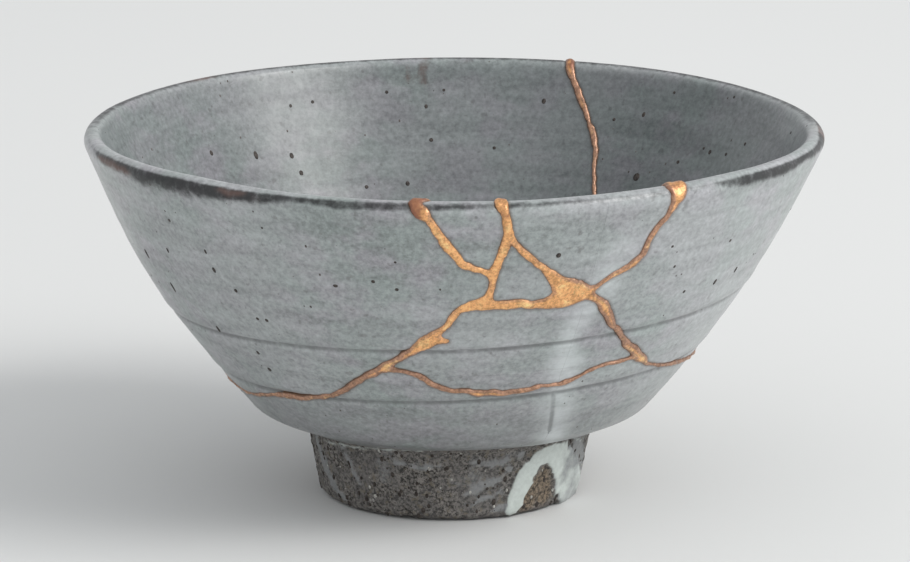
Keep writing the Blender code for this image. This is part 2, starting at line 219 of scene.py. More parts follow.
# Rusty places in the iron stain: angle (degrees), height (mm) and half width (mm)
RUSTY_LIP = (
    ((-70, 74.4, 0.5), (-64, 74, 1), (-58, 73.8, 0.5)),
    ((-37, 75, 0.3), (-35, 74.6, 0.7), (-32.6, 74.9, 0.3)),
    ((197, 73.6, 0.5), (203, 73.4, 1.1), (209, 73.8, 0.5)),
)

# Iron stain under the outer lip: angle (degrees), height where it has faded, fade (mm), strength
LIP_STAIN = (
    (-86, 75.2, 0.7, 0.2), (-76, 74.4, 1, 0.7), (-69, 73.4, 1.4, 0.9), (-61, 71.8, 2.8, 1),
    (-54, 69.6, 4.6, 1), (-48, 69.4, 5, 1), (-42, 71, 3.4, 1), (-34, 72.7, 1.9, 1),
    (-22, 73.5, 1.3, 0.88), (0, 74.2, 1, 0.78), (16, 74.4, 0.9, 0.68), (24, 74.4, 0.9, 0.52),
    (38, 74.1, 1.1, 0.5), (50, 72.8, 1.9, 0.95), (62, 72.4, 2, 1), (74, 72.8, 1.8, 1),
    (86, 73.5, 1.4, 1), (100, 73.8, 1.2, 0.8), (140, 73.6, 1.2, 0.55), (190, 73, 1.6, 0.65),
    (230, 73.6, 1.2, 0.5), (274, 75.2, 0.7, 0.2),
)
LIP_STAIN_TOP = 75.9

# Iron spots: angle (degrees), height (mm), size (mm) and how much taller than wide
SPOTS_OUTSIDE = (
    (-65.7, 55.6, 0.42, 2.6), (-60.9, 49.8, 0.4, 3), (-50.6, 65.9, 0.3, 1.2), (-55.2, 58.7, 0.3, 2.2),
    (-44, 60.9, 0.28, 1.8), (-43.6, 57.2, 0.38, 1.6), (-40.3, 53.4, 0.36, 1.2),
    (-35.7, 47.8, 0.36, 1.1), (-51.1, 43.1, 0.36, 2.2), (-42.5, 39.2, 0.34, 1.4),
    (-42.1, 35.3, 0.4, 1.3), (-19.5, 57.6, 0.46, 1), (-9.1, 57.8, 0.34, 1), (16.4, 64.6, 0.46, 1.1),
    (53.2, 52.5, 0.42, 1.5), (59.4, 53.6, 0.38, 1.8), (44.5, 52.4, 0.32, 1.1), (39.1, 58.8, 0.26, 1.2),
    (36.9, 63.4, 0.28, 1), (51.4, 61.5, 0.3, 1.1), (55.2, 45.8, 0.34, 0.5), (-12.9, 59.2, 0.36, 1),
    (-37.8, 47.8, 0.34, 1), (-9, 63.7, 0.24, 1), (-30.3, 68.3, 0.22, 1), (110, 60, 0.4, 1.2),
    (128, 44, 0.36, 1.6), (171, 62, 0.38, 1), (196, 49, 0.42, 1.4), (214, 66, 0.32, 1.2),
    (222, 37, 0.36, 1), (245, 57, 0.4, 1.8), (262, 42, 0.34, 1.1), (88, 39, 0.34, 1.5),
    (101, 68, 0.28, 1),
)
SPOTS_INSIDE = (
    (-127.7, 61.9, 0.42, 1.3), (-138.5, 59.8, 0.46, 2), (-149.1, 68.3, 0.3, 1.2),
    (-153.6, 68.6, 0.34, 1), (-146.6, 58.6, 0.44, 1.4), (-147.7, 55.1, 0.44, 1.2),
    (-167.8, 69.5, 0.34, 1), (-174.9, 66.4, 0.34, 1.3), (-175.7, 59.7, 0.4, 1), (-178.2, 69.6, 0.3, 1),
    (-170.4, 51.3, 0.42, 1.2), (-161.4, 51.1, 0.38, 1), (171.8, 58.2, 0.34, 1),
    (163.3, 67.9, 0.42, 1.3), (148.8, 65.5, 0.34, 1), (137.9, 72.4, 0.3, 1), (123.8, 74, 0.28, 1),
    (142.9, 67.2, 0.36, 1.5), (114.8, 66.3, 0.34, 1), (99, 72.2, 0.3, 1), (124, 62.8, 0.4, 1.2),
    (119.1, 63.3, 0.34, 1), (131.1, 59.5, 0.38, 1), (126.1, 63.2, 0.3, 1), (139.8, 55.2, 0.7, 1.2),
    (30, 52, 0.4, 1.2), (-40, 60, 0.36, 1), (75, 44, 0.42, 1), (-80, 40, 0.38, 1.3), (-20, 38, 0.4, 1),
)

# The angle at which the grids are cut open (degrees)
GRID_START = -120.0

# The sherds' marks that start at nothing, and the distance (mm) that means far from any line
PAINTED = ("pale", "white", "wash", "bare", "rust", "stain", "inside")
CLEAR = 9.0

# Fixed colours of the glaze, the iron and the clay, and of the painted shade inside the bowl, in the
# turning grooves and at the seams' edges
FRECKLE = (0.105, 0.098, 0.095)
PAINTED_INSIDE_SHADE = (0.02, 0.03, 0.035)
GROOVE_SHADE_AND_DARK_DASH = (0.055, 0.058, 0.058)
RUSTY_IRON = (0.105, 0.056, 0.044)
SEAM_SHADOW = (0.120, 0.088, 0.068)
CLAY_CLOUD = (0.125, 0.120, 0.118)
OCHRE = (0.175, 0.150, 0.110)
RUSTY_CLAY = ((0.035, 0.024, 0.015), (0.26, 0.19, 0.12))

# How places are scaled for noise: long marks of the turning, and flat clouds
TURNED = (0.06, 0.06, 1.0)
FLOWING = (1.0, 1.0, 5.0)

# Scattered grains: smallest and largest size (m), flatness, roughness
SPECK = (0.00006, 0.00023, 0.25, 0.4)
PALE_GRIT = (0.00010, 0.00036, 0.35, 0.7)
DARK_GRIT = (0.00012, 0.00050, 0.35, 0.9)

# The place that the camera looks at (m), and the width of its sensor (mm)
CAMERA_AIM = (0.0006, 0.0, 0.04355)
SENSOR_WIDTH = 36.0

# The lights: place (m), side (m), colour; each looks at the middle of the bowl
LAMP_AIM = (0.0, 0.0, 0.04)
LAMPS = {
    "key_light": ((2.38, -1.02, 2.13), 1.7, (1.0, 0.99, 0.97)),
    "fill_light": ((0.85, -1.5, 0.45), 1.5, (0.98, 0.99, 1.0)),
}
ROOM_COLOUR = (0.97, 0.985, 1.0, 1.0)
FLOOR_RADIUS = 4.0


def length(label, text, default, low, high):
    """A length setting; its values are given in millimetres."""
    return FloatProperty(name=label, description=text, default=default * MM, min=low * MM, max=high * MM,
                         subtype="DISTANCE", unit="LENGTH", precision=5)


def colour_of(label, text, default):
    """A colour setting."""
    return FloatVectorProperty(name=label, description=text, default=default, size=3, min=0.0, max=1.0,
                               subtype="COLOR")


def amount(label, text, default, high, **more):
    """A setting for a number from zero up to a highest value."""
    return FloatProperty(name=label, description=text, default=default, min=0.0, max=high, **more)


class SherdSettings(bpy.types.PropertyGroup):
    columns: IntProperty(
        name="Columns", description="Columns of faces round the bowl", default=432, min=120, max=900)
    row_height: length("Row Height", "Height of a row of faces on the wall", 0.6, 0.2, 3.0)
    groove_depth: length("Groove Depth", "Depth of the two turning grooves", 0.42, 0.0, 1.0)
    throwing_relief: length(
        "Throwing Relief", "Height of the fine lines from the potter's fingers", 0.07, 0.0, 0.5)
    edge_drop: length("Edge Drop", "How far a sherd's glaze rolls down at a crack", 0.16, 0.0, 0.6)
    glaze_thickness: length(
        "Glaze Thickness", "How far the glaze stands over the bare foot", 0.35, 0.0, 1.0)
    arch_thickness: length(
        "Arch Thickness", "How far the thick white glaze stands out on the foot", 0.6, 0.0, 1.5)
    glaze_colour: colour_of("Glaze", "The satin grey-blue of the glaze", (0.312, 0.326, 0.331))
    glaze_green: colour_of(
        "Glaze, Green Tint", "Where the glaze turns a little green", (0.285, 0.330, 0.318))
    glaze_violet: colour_of(
        "Glaze, Violet Tint", "Where the glaze turns a little violet", (0.348, 0.338, 0.366))
    # Also used as painted light on the right side of the outside
    pale_colour: colour_of("Pale Run", "The pale run of thick glaze on the outside", (0.66, 0.70, 0.71))
    white_colour: colour_of("White Arch", "The thick white-green glaze on the foot", (0.58, 0.63, 0.60))
    iron_colour: colour_of("Iron", "The iron that stains the glaze under the lip", (0.020, 0.019, 0.020))
    wash_colour: colour_of("Wash", "The thin grey glaze that streaks the foot", (0.29, 0.30, 0.305))
    # Painted shade: how far the inside of the bowl is darkened towards a near-black blue
    inside_painted_shade: amount(
        "Inside Shade", "How much darker the glaze is inside the bowl", 0.37, 1.0, subtype="FACTOR")
    clay_colour: colour_of("Bare Clay", "The gritty clay of the foot", (0.082, 0.076, 0.070))


class LacquerSettings(bpy.types.PropertyGroup):
    grid: length("Grid", "Size of the lacquer's faces on the wall", 0.3, 0.15, 1.0)
    bead_height: length("Bead Height", "How far the lacquer stands out of the glaze", 0.42, 0.1, 1.0)
    bead_shoulder: length(
        "Bead Shoulder", "How far in from its edge the lacquer is fully raised", 0.75, 0.2, 2.0)
    web: length("Web", "How much the lacquer fills the corners where cracks meet", 0.31, 0.1, 1.5)
    ragged: length("Ragged Edge", "How far the lacquer's edge wanders", 0.22, 0.0, 0.3)
    gold_colour: colour_of("Gold", "The copper-gold of the thick lacquer", (0.92, 0.485, 0.215))
    # Painted highlight: the yellow laid on the raised middle of the bead
    glint_colour: colour_of("Glint", "The yellow gold where the powder lies thickest", (1.0, 0.67, 0.32))
    dull_colour: colour_of("Dull Gold", "The rose-brown of the thin seams", (0.46, 0.265, 0.18))
    rust_colour: colour_of("Rust", "The worn lacquer on the lip", (0.23, 0.085, 0.050))
    lacquer_colour: colour_of("Lacquer", "The dark lacquer beside the gold", (0.15, 0.072, 0.036))


class GrainSettings(bpy.types.PropertyGroup):
    spot_colour: colour_of("Iron Spot", "The dark iron spots in the glaze", (0.058, 0.049, 0.044))
    grit_colour: colour_of("Grit", "The pale grains in the foot's clay", (0.42, 0.41, 0.38))
    speck_density: amount("Specks", "Small iron specks to a square metre of glaze", 16000.0, 200000.0)
    grit_density: amount("Grit Density", "Pale grains to a square metre of bare clay", 70000.0, 400000.0)
    pit_density: amount("Pit Density", "Dark grains to a square metre of bare clay", 190000.0, 400000.0)
    seed: IntProperty(name="Seed", description="Changes where the grains fall", default=7, min=0)


class StudioSettings(bpy.types.PropertyGroup):
    floor_colour: colour_of("Floor", "The pale floor", (0.74, 0.745, 0.74))
    key_power: amount("Key Light", "The large soft light at the right", 71.5, 1000.0, unit="POWER")
    fill_power: amount("Fill Light", "The wide low light in front", 2.8, 1000.0, unit="POWER")
    ambient: amount("Ambient", "The even light from the room", 0.72, 3.0)
    camera_distance: FloatProperty(
        name="Camera Distance", description="From the camera to the middle of the bowl", default=1.0,
        min=0.2, subtype="DISTANCE", unit="LENGTH")
    camera_elevation: FloatProperty(
        name="Camera Elevation", description="Angle of the camera above the bowl",
        default=math.radians(13.56), subtype="ANGLE", unit="ROTATION")
    lens: FloatProperty(
        name="Lens", description="Focal length", default=193.25, min=20.0, unit="CAMERA")


class TeaBowlSettings(bpy.types.PropertyGroup):
    sherds: PointerProperty(
        type=SherdSettings, name="Sherds", description="Shape and colours of the sherds")
    lacquer: PointerProperty(
        type=LacquerSettings, name="Lacquer", description="Shape and colours of the gold")
    grains: PointerProperty(type=GrainSettings, name="Grains", description="Spots, specks and grit")
    studio: PointerProperty(type=StudioSettings, name="Studio", description="Floor, lights and camera")


# The section, each of whose two long curves has this many points
CURVE_POINTS = 801


def upward(flare):
    """The way up the wall at a flare from the vertical, as radius and height."""
    return np.array([math.sin(flare), math.cos(flare)])


def outward(flare):
    """The way out of the wall, square to it."""
    return np.array([math.cos(flare), -math.sin(flare)])


def bezier(start, first, last, end, count):
    share = np.linspace(0.0, 1.0, count)[:, None]
    rest = 1 - share
    return rest**3 * start + 3 * rest**2 * share * first + 3 * rest * share**2 * last + share**3 * end


def lengths_along(points):
    return np.concatenate([[0.0], np.cumsum(np.linalg.norm(np.diff(points, axis=0), axis=1))])


def evenly(points, count):
    """The same line with its points evenly spaced."""
    lengths = lengths_along(points)
    stations = np.linspace(0.0, lengths[-1], count)
    return np.column_stack([np.interp(stations, lengths, points[:, axis]) for axis in range(2)])


def softened(points, reach):
    """The line with its corners rounded; its two ends stay where they are."""
    kernel = np.exp(-0.5 * (np.arange(-3 * reach, 3 * reach + 1) / reach) ** 2)
    kernel /= kernel.sum()
    pad = 3 * reach
    before = 2 * points[0] - points[pad:0:-1]
    after = 2 * points[-1] - points[-2:-pad - 2:-1]
    long = np.concatenate([before, points, after])
    return np.column_stack([np.convolve(long[:, axis], kernel, "valid") for axis in range(2)])


def section_table():
    """Rows with the point and the normal of both faces: radius, height, and the normal's two parts."""
    foot_top = np.array([FOOT_RADIUS + FOOT_WIDENING, FOOT_HEIGHT])
    shoulder = foot_top + [SHOULDER_STEP, SHOULDER_RISE]
    lip = np.array([RIM_RADIUS - LIP_THICKNESS / 2, HEIGHT - LIP_THICKNESS / 2])
    top = lip + LIP_THICKNESS / 2 * outward(RIM_FLARE)
    chord = np.linalg.norm(top - shoulder)
    count = CURVE_POINTS
    wall = bezier(shoulder, shoulder + WALL_HANDLE_SHARES[0] * chord * upward(SHOULDER_FLARE),
                  top - WALL_HANDLE_SHARES[1] * chord * upward(RIM_FLARE), top, count)
    slope = np.gradient(wall, axis=0)
    flare = np.arctan2(slope[:, 0], slope[:, 1])
    thickness = np.linspace(WALL_THICKNESS, LIP_THICKNESS, count)
    inner_wall = wall - thickness[:, None] * np.column_stack([np.cos(flare), -np.sin(flare)])
    turns = np.linspace(0.0, math.pi / 2, 33)[1:]
    lip_out = np.array([lip + LIP_THICKNESS / 2 * outward(RIM_FLARE - turn) for turn in turns])
    lip_in = np.array([lip + LIP_THICKNESS / 2 * outward(RIM_FLARE - math.pi + turn) for turn in turns])

    ring = FOOT_RADIUS - FOOT_RING_WIDTH
    chord = np.linalg.norm(shoulder - foot_top)
    rising = np.array([math.cos(UNDERSIDE_RISE), math.sin(UNDERSIDE_RISE)])
    underside = bezier(foot_top, foot_top + UNDERSIDE_HANDLE_SHARES[0] * chord * rising,
                       shoulder - UNDERSIDE_HANDLE_SHARES[1] * chord * upward(SHOULDER_FLARE), shoulder, 60)
    foot = np.array([
        (0.0, FOOT_RECESS_DEPTH), (0.6 * ring, FOOT_RECESS_DEPTH), (0.93 * ring, 0.9 * FOOT_RECESS_DEPTH),
        (ring, FOOT_EDGE), (ring + FOOT_EDGE, 0.0),
        (FOOT_RADIUS - FOOT_EDGE, 0.0), (FOOT_RADIUS, FOOT_EDGE),
    ])
    below = softened(evenly(np.concatenate([foot, underside]), count), 6)
    floor_edge = inner_wall[0]
    well = np.array([0.0, FOOT_RECESS_DEPTH + BASE_THICKNESS])
    floor = bezier(well, well + [FLOOR_HANDLE_SHARES[1] * floor_edge[0], 0.0],
                   floor_edge - FLOOR_HANDLE_SHARES[0] * floor_edge[0] * upward(SHOULDER_FLARE),
                   floor_edge, 200)
    floor = evenly(floor, count)
    outer = np.concatenate([below[:-1], wall, lip_out])
    inner = np.concatenate([floor[:-1], inner_wall, lip_in])
    rows = lengths_along(outer)
    rows -= rows[count - 1]

    def with_normals(line, sign, first):
        run = np.gradient(line, rows, axis=0)
        run /= np.linalg.norm(run, axis=1)[:, None]
        normal = sign * np.column_stack([run[:, 1], -run[:, 0]])
        normal[0] = first
        normal[-1] = upward(RIM_FLARE)
        return np.column_stack([line, normal])

    return {
        "row": rows,
        "outer": with_normals(outer, 1, (0.0, -1.0)),
        "inner": with_normals(inner, -1, (0.0, 1.0)),
        "lip_row": rows[-len(turns) - 1],
        "wall_start": count - 1,
        "wall_end": 2 * count - 2,
    }


SECTION = section_table()
LOWEST_ROW = float(SECTION["row"][0])
LIP_ROW = float(SECTION["lip_row"])
CREST_ROW = float(SECTION["row"][-1])


def row_at(height):
    """The row at a height on the outside of the wall; straight on past the lip."""
    wall = slice(SECTION["wall_start"], SECTION["wall_end"] + 1)
    heights = SECTION["outer"][wall, 1]
    beyond = np.maximum(0.0, np.asarray(height) - heights[-1]) / math.cos(RIM_FLARE)
    return np.interp(height, heights, SECTION["row"][wall]) + beyond


def surface(degrees, rows, face):
    """Points and normals (mm) on the outer or the inner face."""
    radius, height, out, up = (np.interp(rows, SECTION["row"], column) for column in SECTION[face].T)
    angle = np.radians(degrees)
    sine, cosine = np.sin(angle), np.cos(angle)
    lean = RIM_LEAN * (height / HEIGHT - LEAN_PIVOT_SHARE)
    lift = np.interp(around(degrees), *zip(*RIM_LIFT))
    height = height + lift * ease(LIFT_START, HEIGHT, height)
    points = np.column_stack([radius * sine + lean, -radius * cosine, height])
    return points, np.column_stack([out * sine, -out * cosine, up]), radius


# Random but repeatable relief


def grain(points, size, seed):
    """Smooth values from -1 to 1 that change over about this size (mm)."""
    cell = points / size + 512.0
    low = np.floor(cell).astype(np.int64)
    part = cell - low
    part = part * part * (3 - 2 * part)
    total = np.zeros(len(cell))
    for corner in range(8):
        step = np.array([corner & 1, corner >> 1 & 1, corner >> 2 & 1])
        weight = np.prod(np.where(step, part, 1 - part), axis=1)
        place = low + step
        mixed = (place[:, 0] * 73856093) ^ (place[:, 1] * 19349663) ^ (place[:, 2] * 83492791)
        mixed = (mixed ^ (seed * 40503)) & 0x7FFFFFFF
        mixed = ((mixed ^ (mixed >> 15)) * 73244475) & 0x7FFFFFFF
        mixed = ((mixed ^ (mixed >> 15)) * 73244475) & 0x7FFFFFFF
        total += weight * ((mixed ^ (mixed >> 16)) & 0xFFFF) / 0xFFFF
    return 2 * total - 1


def ease(low, high, values):
    """Smooth step from 0 at low to 1 at high."""
    share = np.clip((values - low) / (high - low), 0.0, 1.0)
    return share * share * (3 - 2 * share)


def around(degrees):
    """An angle's difference, from -180 to 180 degrees."""
    return (np.asarray(degrees) + 180.0) % 360.0 - 180.0


def from_edge(x, y, run_x, run_y, half, next_half):
    """Distance (mm) from the edge of a straight line that has these half widths at its two ends."""
    share = np.clip((x * run_x + y * run_y) / (run_x**2 + run_y**2 + 1e-9), 0.0, 1.0)
    return np.hypot(x - share * run_x, y - share * run_y) - half - share * (next_half - half)


def stroke(degrees, heights, radius, points):
    """Distance (mm) from the edge of a painted stroke: below zero inside it."""
    best = np.full(len(degrees), 50.0)
    for (angle, height, half), (next_angle, next_height, next_half) in zip(points, points[1:]):
        x = around(degrees - angle) * radius * math.pi / 180
        run_x = around(next_angle - angle) * radius * math.pi / 180
        distance = from_edge(x, heights - height, run_x, next_height - height, half, next_half)
        best = np.minimum(best, distance)
    return best


# The cracks


def smooth_line(crack, seed):
    """A crack's points as angle, row and half width, on a smooth line with a slight waver."""
    marks = np.array([(degrees, row_at(height), width / 2) for degrees, height, width in crack])
    marks = np.concatenate([[2 * marks[0] - marks[1]], marks, [2 * marks[-1] - marks[-2]]])
    line = []
    for before, start, end, after in zip(marks, marks[1:], marks[2:], marks[3:]):
        radius = np.interp(start[1], SECTION["row"], SECTION["outer"][:, 0])
        length = math.hypot((end[0] - start[0]) * radius * math.pi / 180, end[1] - start[1])
        count = max(1, round(length / CRACK_STEP))
        pull = 0.5 * min(1.0, 8.0 / max(length, 1.0))
        for step in range(count):
            t = step / count
            first, last = pull * (end - before), pull * (after - start)
            line.append((2 * t**3 - 3 * t**2 + 1) * start + (t**3 - 2 * t**2 + t) * first
                        + (3 * t**2 - 2 * t**3) * end + (t**3 - t**2) * last)
    line.append(marks[-2])
    line = np.array(line)
    line[:, 2] = np.maximum(line[:, 2], THINNEST_HALF)
    places = np.column_stack([lengths_along(line[:, :2] * [1.1, 1.0]), np.full((len(line), 2), 9.0 * seed)])
    calm = np.minimum(1.0, np.minimum(np.arange(len(line)), np.arange(len(line))[::-1]) / 4)
    line[:, 1] += calm * (WAVER * grain(places, 3.1, seed) + 0.5 * WAVER * grain(places, 1.5, seed + 1))
    line[:, 2] *= 1 + 0.16 * grain(places, 2.2, seed + 2)
    return line


def crack_field(angles, rows, web, ragged):
    """Distance (mm) from the cracks' edges over a grid of rows and angles: below zero inside them."""
    far = 6.0
    radius = np.interp(rows, SECTION["row"], SECTION["outer"][:, 0])[:, None] * math.pi / 180
    total = np.zeros((len(rows), len(angles)))
    for number, crack in enumerate(CRACKS.values()):
        line = smooth_line(crack, 11 * number + 3)
        nearest = np.full(total.shape, far)
        for start, end in zip(line, line[1:]):
            low, high = sorted((start[1], end[1]))
            first, last = np.searchsorted(rows, (low - far, high + far))
            if first == last:
                continue
            scale = radius[first:last]
            reach = (far + 1.0) / scale[0, 0] + abs(end[0] - start[0])
            near = np.nonzero(np.abs(around(angles - start[0])) < reach)[0]
            x = around(angles[near] - start[0])[None, :] * scale
            y = (rows[first:last] - start[1])[:, None]
            run_x = (end[0] - start[0]) * scale
            distance = from_edge(x, y, run_x, end[1] - start[1], start[2], end[2])
            block = nearest[first:last, near]
            nearest[first:last, near] = np.minimum(block, distance)
        total += np.exp(-nearest / web)
    field = -web * np.log(total)
    if ragged:
        spread, height = np.meshgrid(angles, rows)
        points = surface(spread.ravel(), height.ravel(), "outer")[0]
        noise = 0.9 * grain(points, 2.6, 5) + 0.7 * grain(points, 1.1, 6)
        field += ragged * noise.reshape(field.shape) * np.exp(-np.maximum(field, 0.0))
    field[:, -1] = field[:, 0]
    return field


def fine_grid(settings):
    """The lacquer's angles and rows, and the crack field over them."""
    step = settings.grid / MM
    columns = round(math.tau * FIELD_RADIUS / step)
    angles = np.linspace(GRID_START, GRID_START + 360.0, columns + 1)
    lowest = float(row_at(FIELD_LOWEST))
    rows = np.linspace(lowest, LIP_ROW, round((LIP_ROW - lowest) / step) + 1)
    rows = np.append(rows, np.linspace(LIP_ROW, CREST_ROW, 11)[1:])
    return angles, rows, crack_field(angles, rows, settings.web / MM, settings.ragged / MM)


def sampled(grid, degrees, heights):
    """The crack field of the fine grid at any angles and rows."""
    angles, rows, field = grid
    across = (degrees - angles[0]) / (angles[1] - angles[0])
    up = np.interp(heights, rows, np.arange(len(rows)))
    column = np.clip(across.astype(int), 0, len(angles) - 2)
    row = np.clip(up.astype(int), 0, len(rows) - 2)
    across, up = across - column, up - row
    low = field[row, column] * (1 - across) + field[row, column + 1] * across
    high = field[row + 1, column] * (1 - across) + field[row + 1, column + 1] * across
    return low * (1 - up) + high * up


# Sheets and solids


def without_repeats(ring):
    """A ring of indices without those that equal the one before."""
    return [index for index, before in zip(ring, ring[-1:] + ring[:-1]) if index != before]


def sheet(angles, rows, grid, level, inside, rings, cuts):
    """Faces over the angles and rows, cut along one level of the crack field.

    Faces near a crack are first divided by this many cuts. The sheet is split once more along
    each ring level. Returns the angle, row and field of each vertex, and the faces.
    """
    spread, height = np.meshgrid(angles, rows)
    field = sampled(grid, spread.ravel(), height.ravel())
    corners = np.column_stack([spread.ravel(), height.ravel(), np.zeros(len(field))])
    first = (np.arange(len(rows) - 1)[:, None] * len(angles) + np.arange(len(angles) - 1)).ravel()
    quads = np.column_stack([first, first + 1, first + len(angles) + 1, first + len(angles)])
    lowest = field[quads].min(axis=1)
    near = (lowest < NEAR_CRACK).reshape(len(rows) - 1, -1)
    near[:, 0] = near[:, -1] = near[:, 0] | near[:, -1]
    near = near.ravel()
    if inside:
        quads = quads[lowest < level]
    used, quads = np.unique(quads, return_inverse=True)
    data = bpy.data.meshes.new("grid")
    data.from_pydata(corners[used].tolist(), [], quads.reshape(-1, 4).tolist())
    mesh = bmesh.new()
    mesh.from_mesh(data)
    bpy.data.meshes.remove(data)
    if cuts:
        mesh.faces.ensure_lookup_table()
        edges = {edge for index in np.nonzero(near)[0] for edge in mesh.faces[index].edges}
        bmesh.ops.subdivide_edges(mesh, edges=list(edges), cuts=cuts, use_grid_fill=True)
    flat = np.array([vertex.co for vertex in mesh.verts])
    for vertex, value in zip(mesh.verts, sampled(grid, flat[:, 0], flat[:, 1])):
        vertex.co.z = value
    for cut in (level, *rings):
        crossing = [face for face in mesh.faces
                    if min(v.co.z for v in face.verts) < cut < max(v.co.z for v in face.verts)]
        edges = {edge for face in crossing for edge in face.edges}
        corners = {vertex for face in crossing for vertex in face.verts}
        bmesh.ops.bisect_plane(mesh, geom=[*corners, *edges, *crossing], dist=1e-5,
                               plane_co=(0.0, 0.0, cut), plane_no=(0.0, 0.0, 1.0))
    mesh.verts.index_update()
    points = np.array([vertex.co for vertex in mesh.verts])
    faces = []
    for face in mesh.faces:
        middle = sum(vertex.co.z for vertex in face.verts) / len(face.verts)
        if (middle < level) == inside:
            faces.append([vertex.index for vertex in face.verts])
    mesh.free()
    at_axis = points[:, 1] < LOWEST_ROW + 1e-3
    key_angle = np.where(at_axis, 0.0, np.round(points[:, 0] % 360.0, 3) % 360.0)
    keys = np.column_stack([key_angle, np.round(points[:, 1], 3)])
    _, kept, joined = np.unique(keys, axis=0, return_index=True, return_inverse=True)
    joined = joined.ravel()
    welded = []
    for face in faces:
        ring = without_repeats([joined[index] for index in face])
        if len(ring) > 2:
            welded.append(ring)
    return points[kept], welded


def parts_of(count, faces):
    """A label for each vertex: vertices that faces join share one."""
    parent = list(range(count))

    def top(index):
        while parent[index] != index:
            parent[index] = parent[parent[index]]
            index = parent[index]
        return index

    for face in faces:
        first = top(face[0])
        for other in face[1:]:
            parent[top(other)] = first
    return np.array([top(index) for index in range(count)])


def closed_piece(name, points, faces, relief, material):
    """Gives a sheet both its faces and the walls between them, and makes it an object."""
    used = sorted({index for face in faces for index in face})
    place = {old: new for new, old in enumerate(used)}
    faces = [[place[index] for index in face] for face in faces]
    degrees, rows, field = points[used].T
    crest = rows > CREST_ROW - 1e-3
    count = len(used)
    inner_index = np.empty(count, int)
    inner_index[crest] = np.nonzero(crest)[0]
    inner_index[~crest] = count + np.arange(np.count_nonzero(~crest))
    outer, marks_out = relief(degrees, rows, field, "outer")
    inner, marks_in = relief(degrees[~crest], rows[~crest], field[~crest], "inner")
    sides = {(a, b) for face in faces for a, b in zip(face, face[1:] + face[:1])}
    all_faces = [tuple(face) for face in faces]
    all_faces += [tuple(int(inner_index[index]) for index in reversed(face)) for face in faces]
    for a, b in sorted(sides):
        if (b, a) in sides or (crest[a] and crest[b]):
            continue
        wall = [b, a, int(inner_index[a]), int(inner_index[b])]
        all_faces.append(tuple(without_repeats(wall)))
    data = bpy.data.meshes.new(name)
    data.from_pydata((np.concatenate([outer, inner]) * MM).tolist(), [], all_faces)
    for mark, values in marks_out.items():
        layer = data.attributes.new(mark, "FLOAT", "POINT")
        layer.data.foreach_set("value", np.concatenate([values, marks_in[mark]]).astype(np.float32))
    data.materials.append(material)
    data.shade_smooth()
    data.set_sharp_from_angle(angle=math.radians(60))
    data.update()
    piece = bpy.data.objects.new(name, data)
    bpy.context.scene.collection.objects.link(piece)
    mesh = bmesh.new()
    mesh.from_mesh(data)
    open_edges = sum(len(edge.link_faces) != 2 for edge in mesh.edges)
    mesh.free()
    if open_edges:
        raise RuntimeError(f"{name} has {open_edges} open edges")
    return piece


def hump(offset, width):
    """One where the offset is zero, falling away smoothly over about this width."""
    return np.exp(-(offset / width) ** 2)


def groove_offset(degrees, heights):
    """Signed height (mm) over the nearest turning groove."""
    tilt = GROOVE_TILT * np.sin(np.radians(degrees))
    offsets = np.array([heights - groove - tilt for groove in GROOVE_HEIGHTS])
    nearest = np.argmin(np.abs(offsets), axis=0)
    return offsets[nearest, np.arange(len(heights))]


def glaze_edge(degrees, points):
    """The height at which the glaze ends over the foot."""
    turn = np.radians(degrees)
    return (GLAZE_END + 0.9 * np.sin(2 * turn + 0.4) + 0.6 * np.sin(3 * turn + 2.0)
            - 2.6 * hump(around(degrees - 72.0), 14.0) + 0.5 * grain(points, 4.0, 31))


def lip_stain(degrees, heights, points, far_side):
    """How strongly iron stains the outside of the lip; on the far half it also lays painted shade up to the
    crest.
    """
    start = LIP_STAIN[0][0]
    table = np.array(LIP_STAIN).T
    turned = (degrees - start) % 360.0 + start
    lowest, fade, strength = (np.interp(turned, table[0], column) for column in table[1:])
    wander = 0.35 * fade * grain(points, 7.0, 15) + 0.12 * grain(points, 2.0, 16)
    stain = strength * ease(0.0, 1.0, (heights - lowest - wander) / fade)
    # On the far half the stain reaches up to the crest, as part of the painted shade along the far rim's
    # top
    top = LIP_STAIN_TOP - 0.4 * ease(10.0, 42.0, np.abs(around(degrees))) + 2.0 * far_side
    return stain * ease(top + 0.25, top - 0.45, heights)


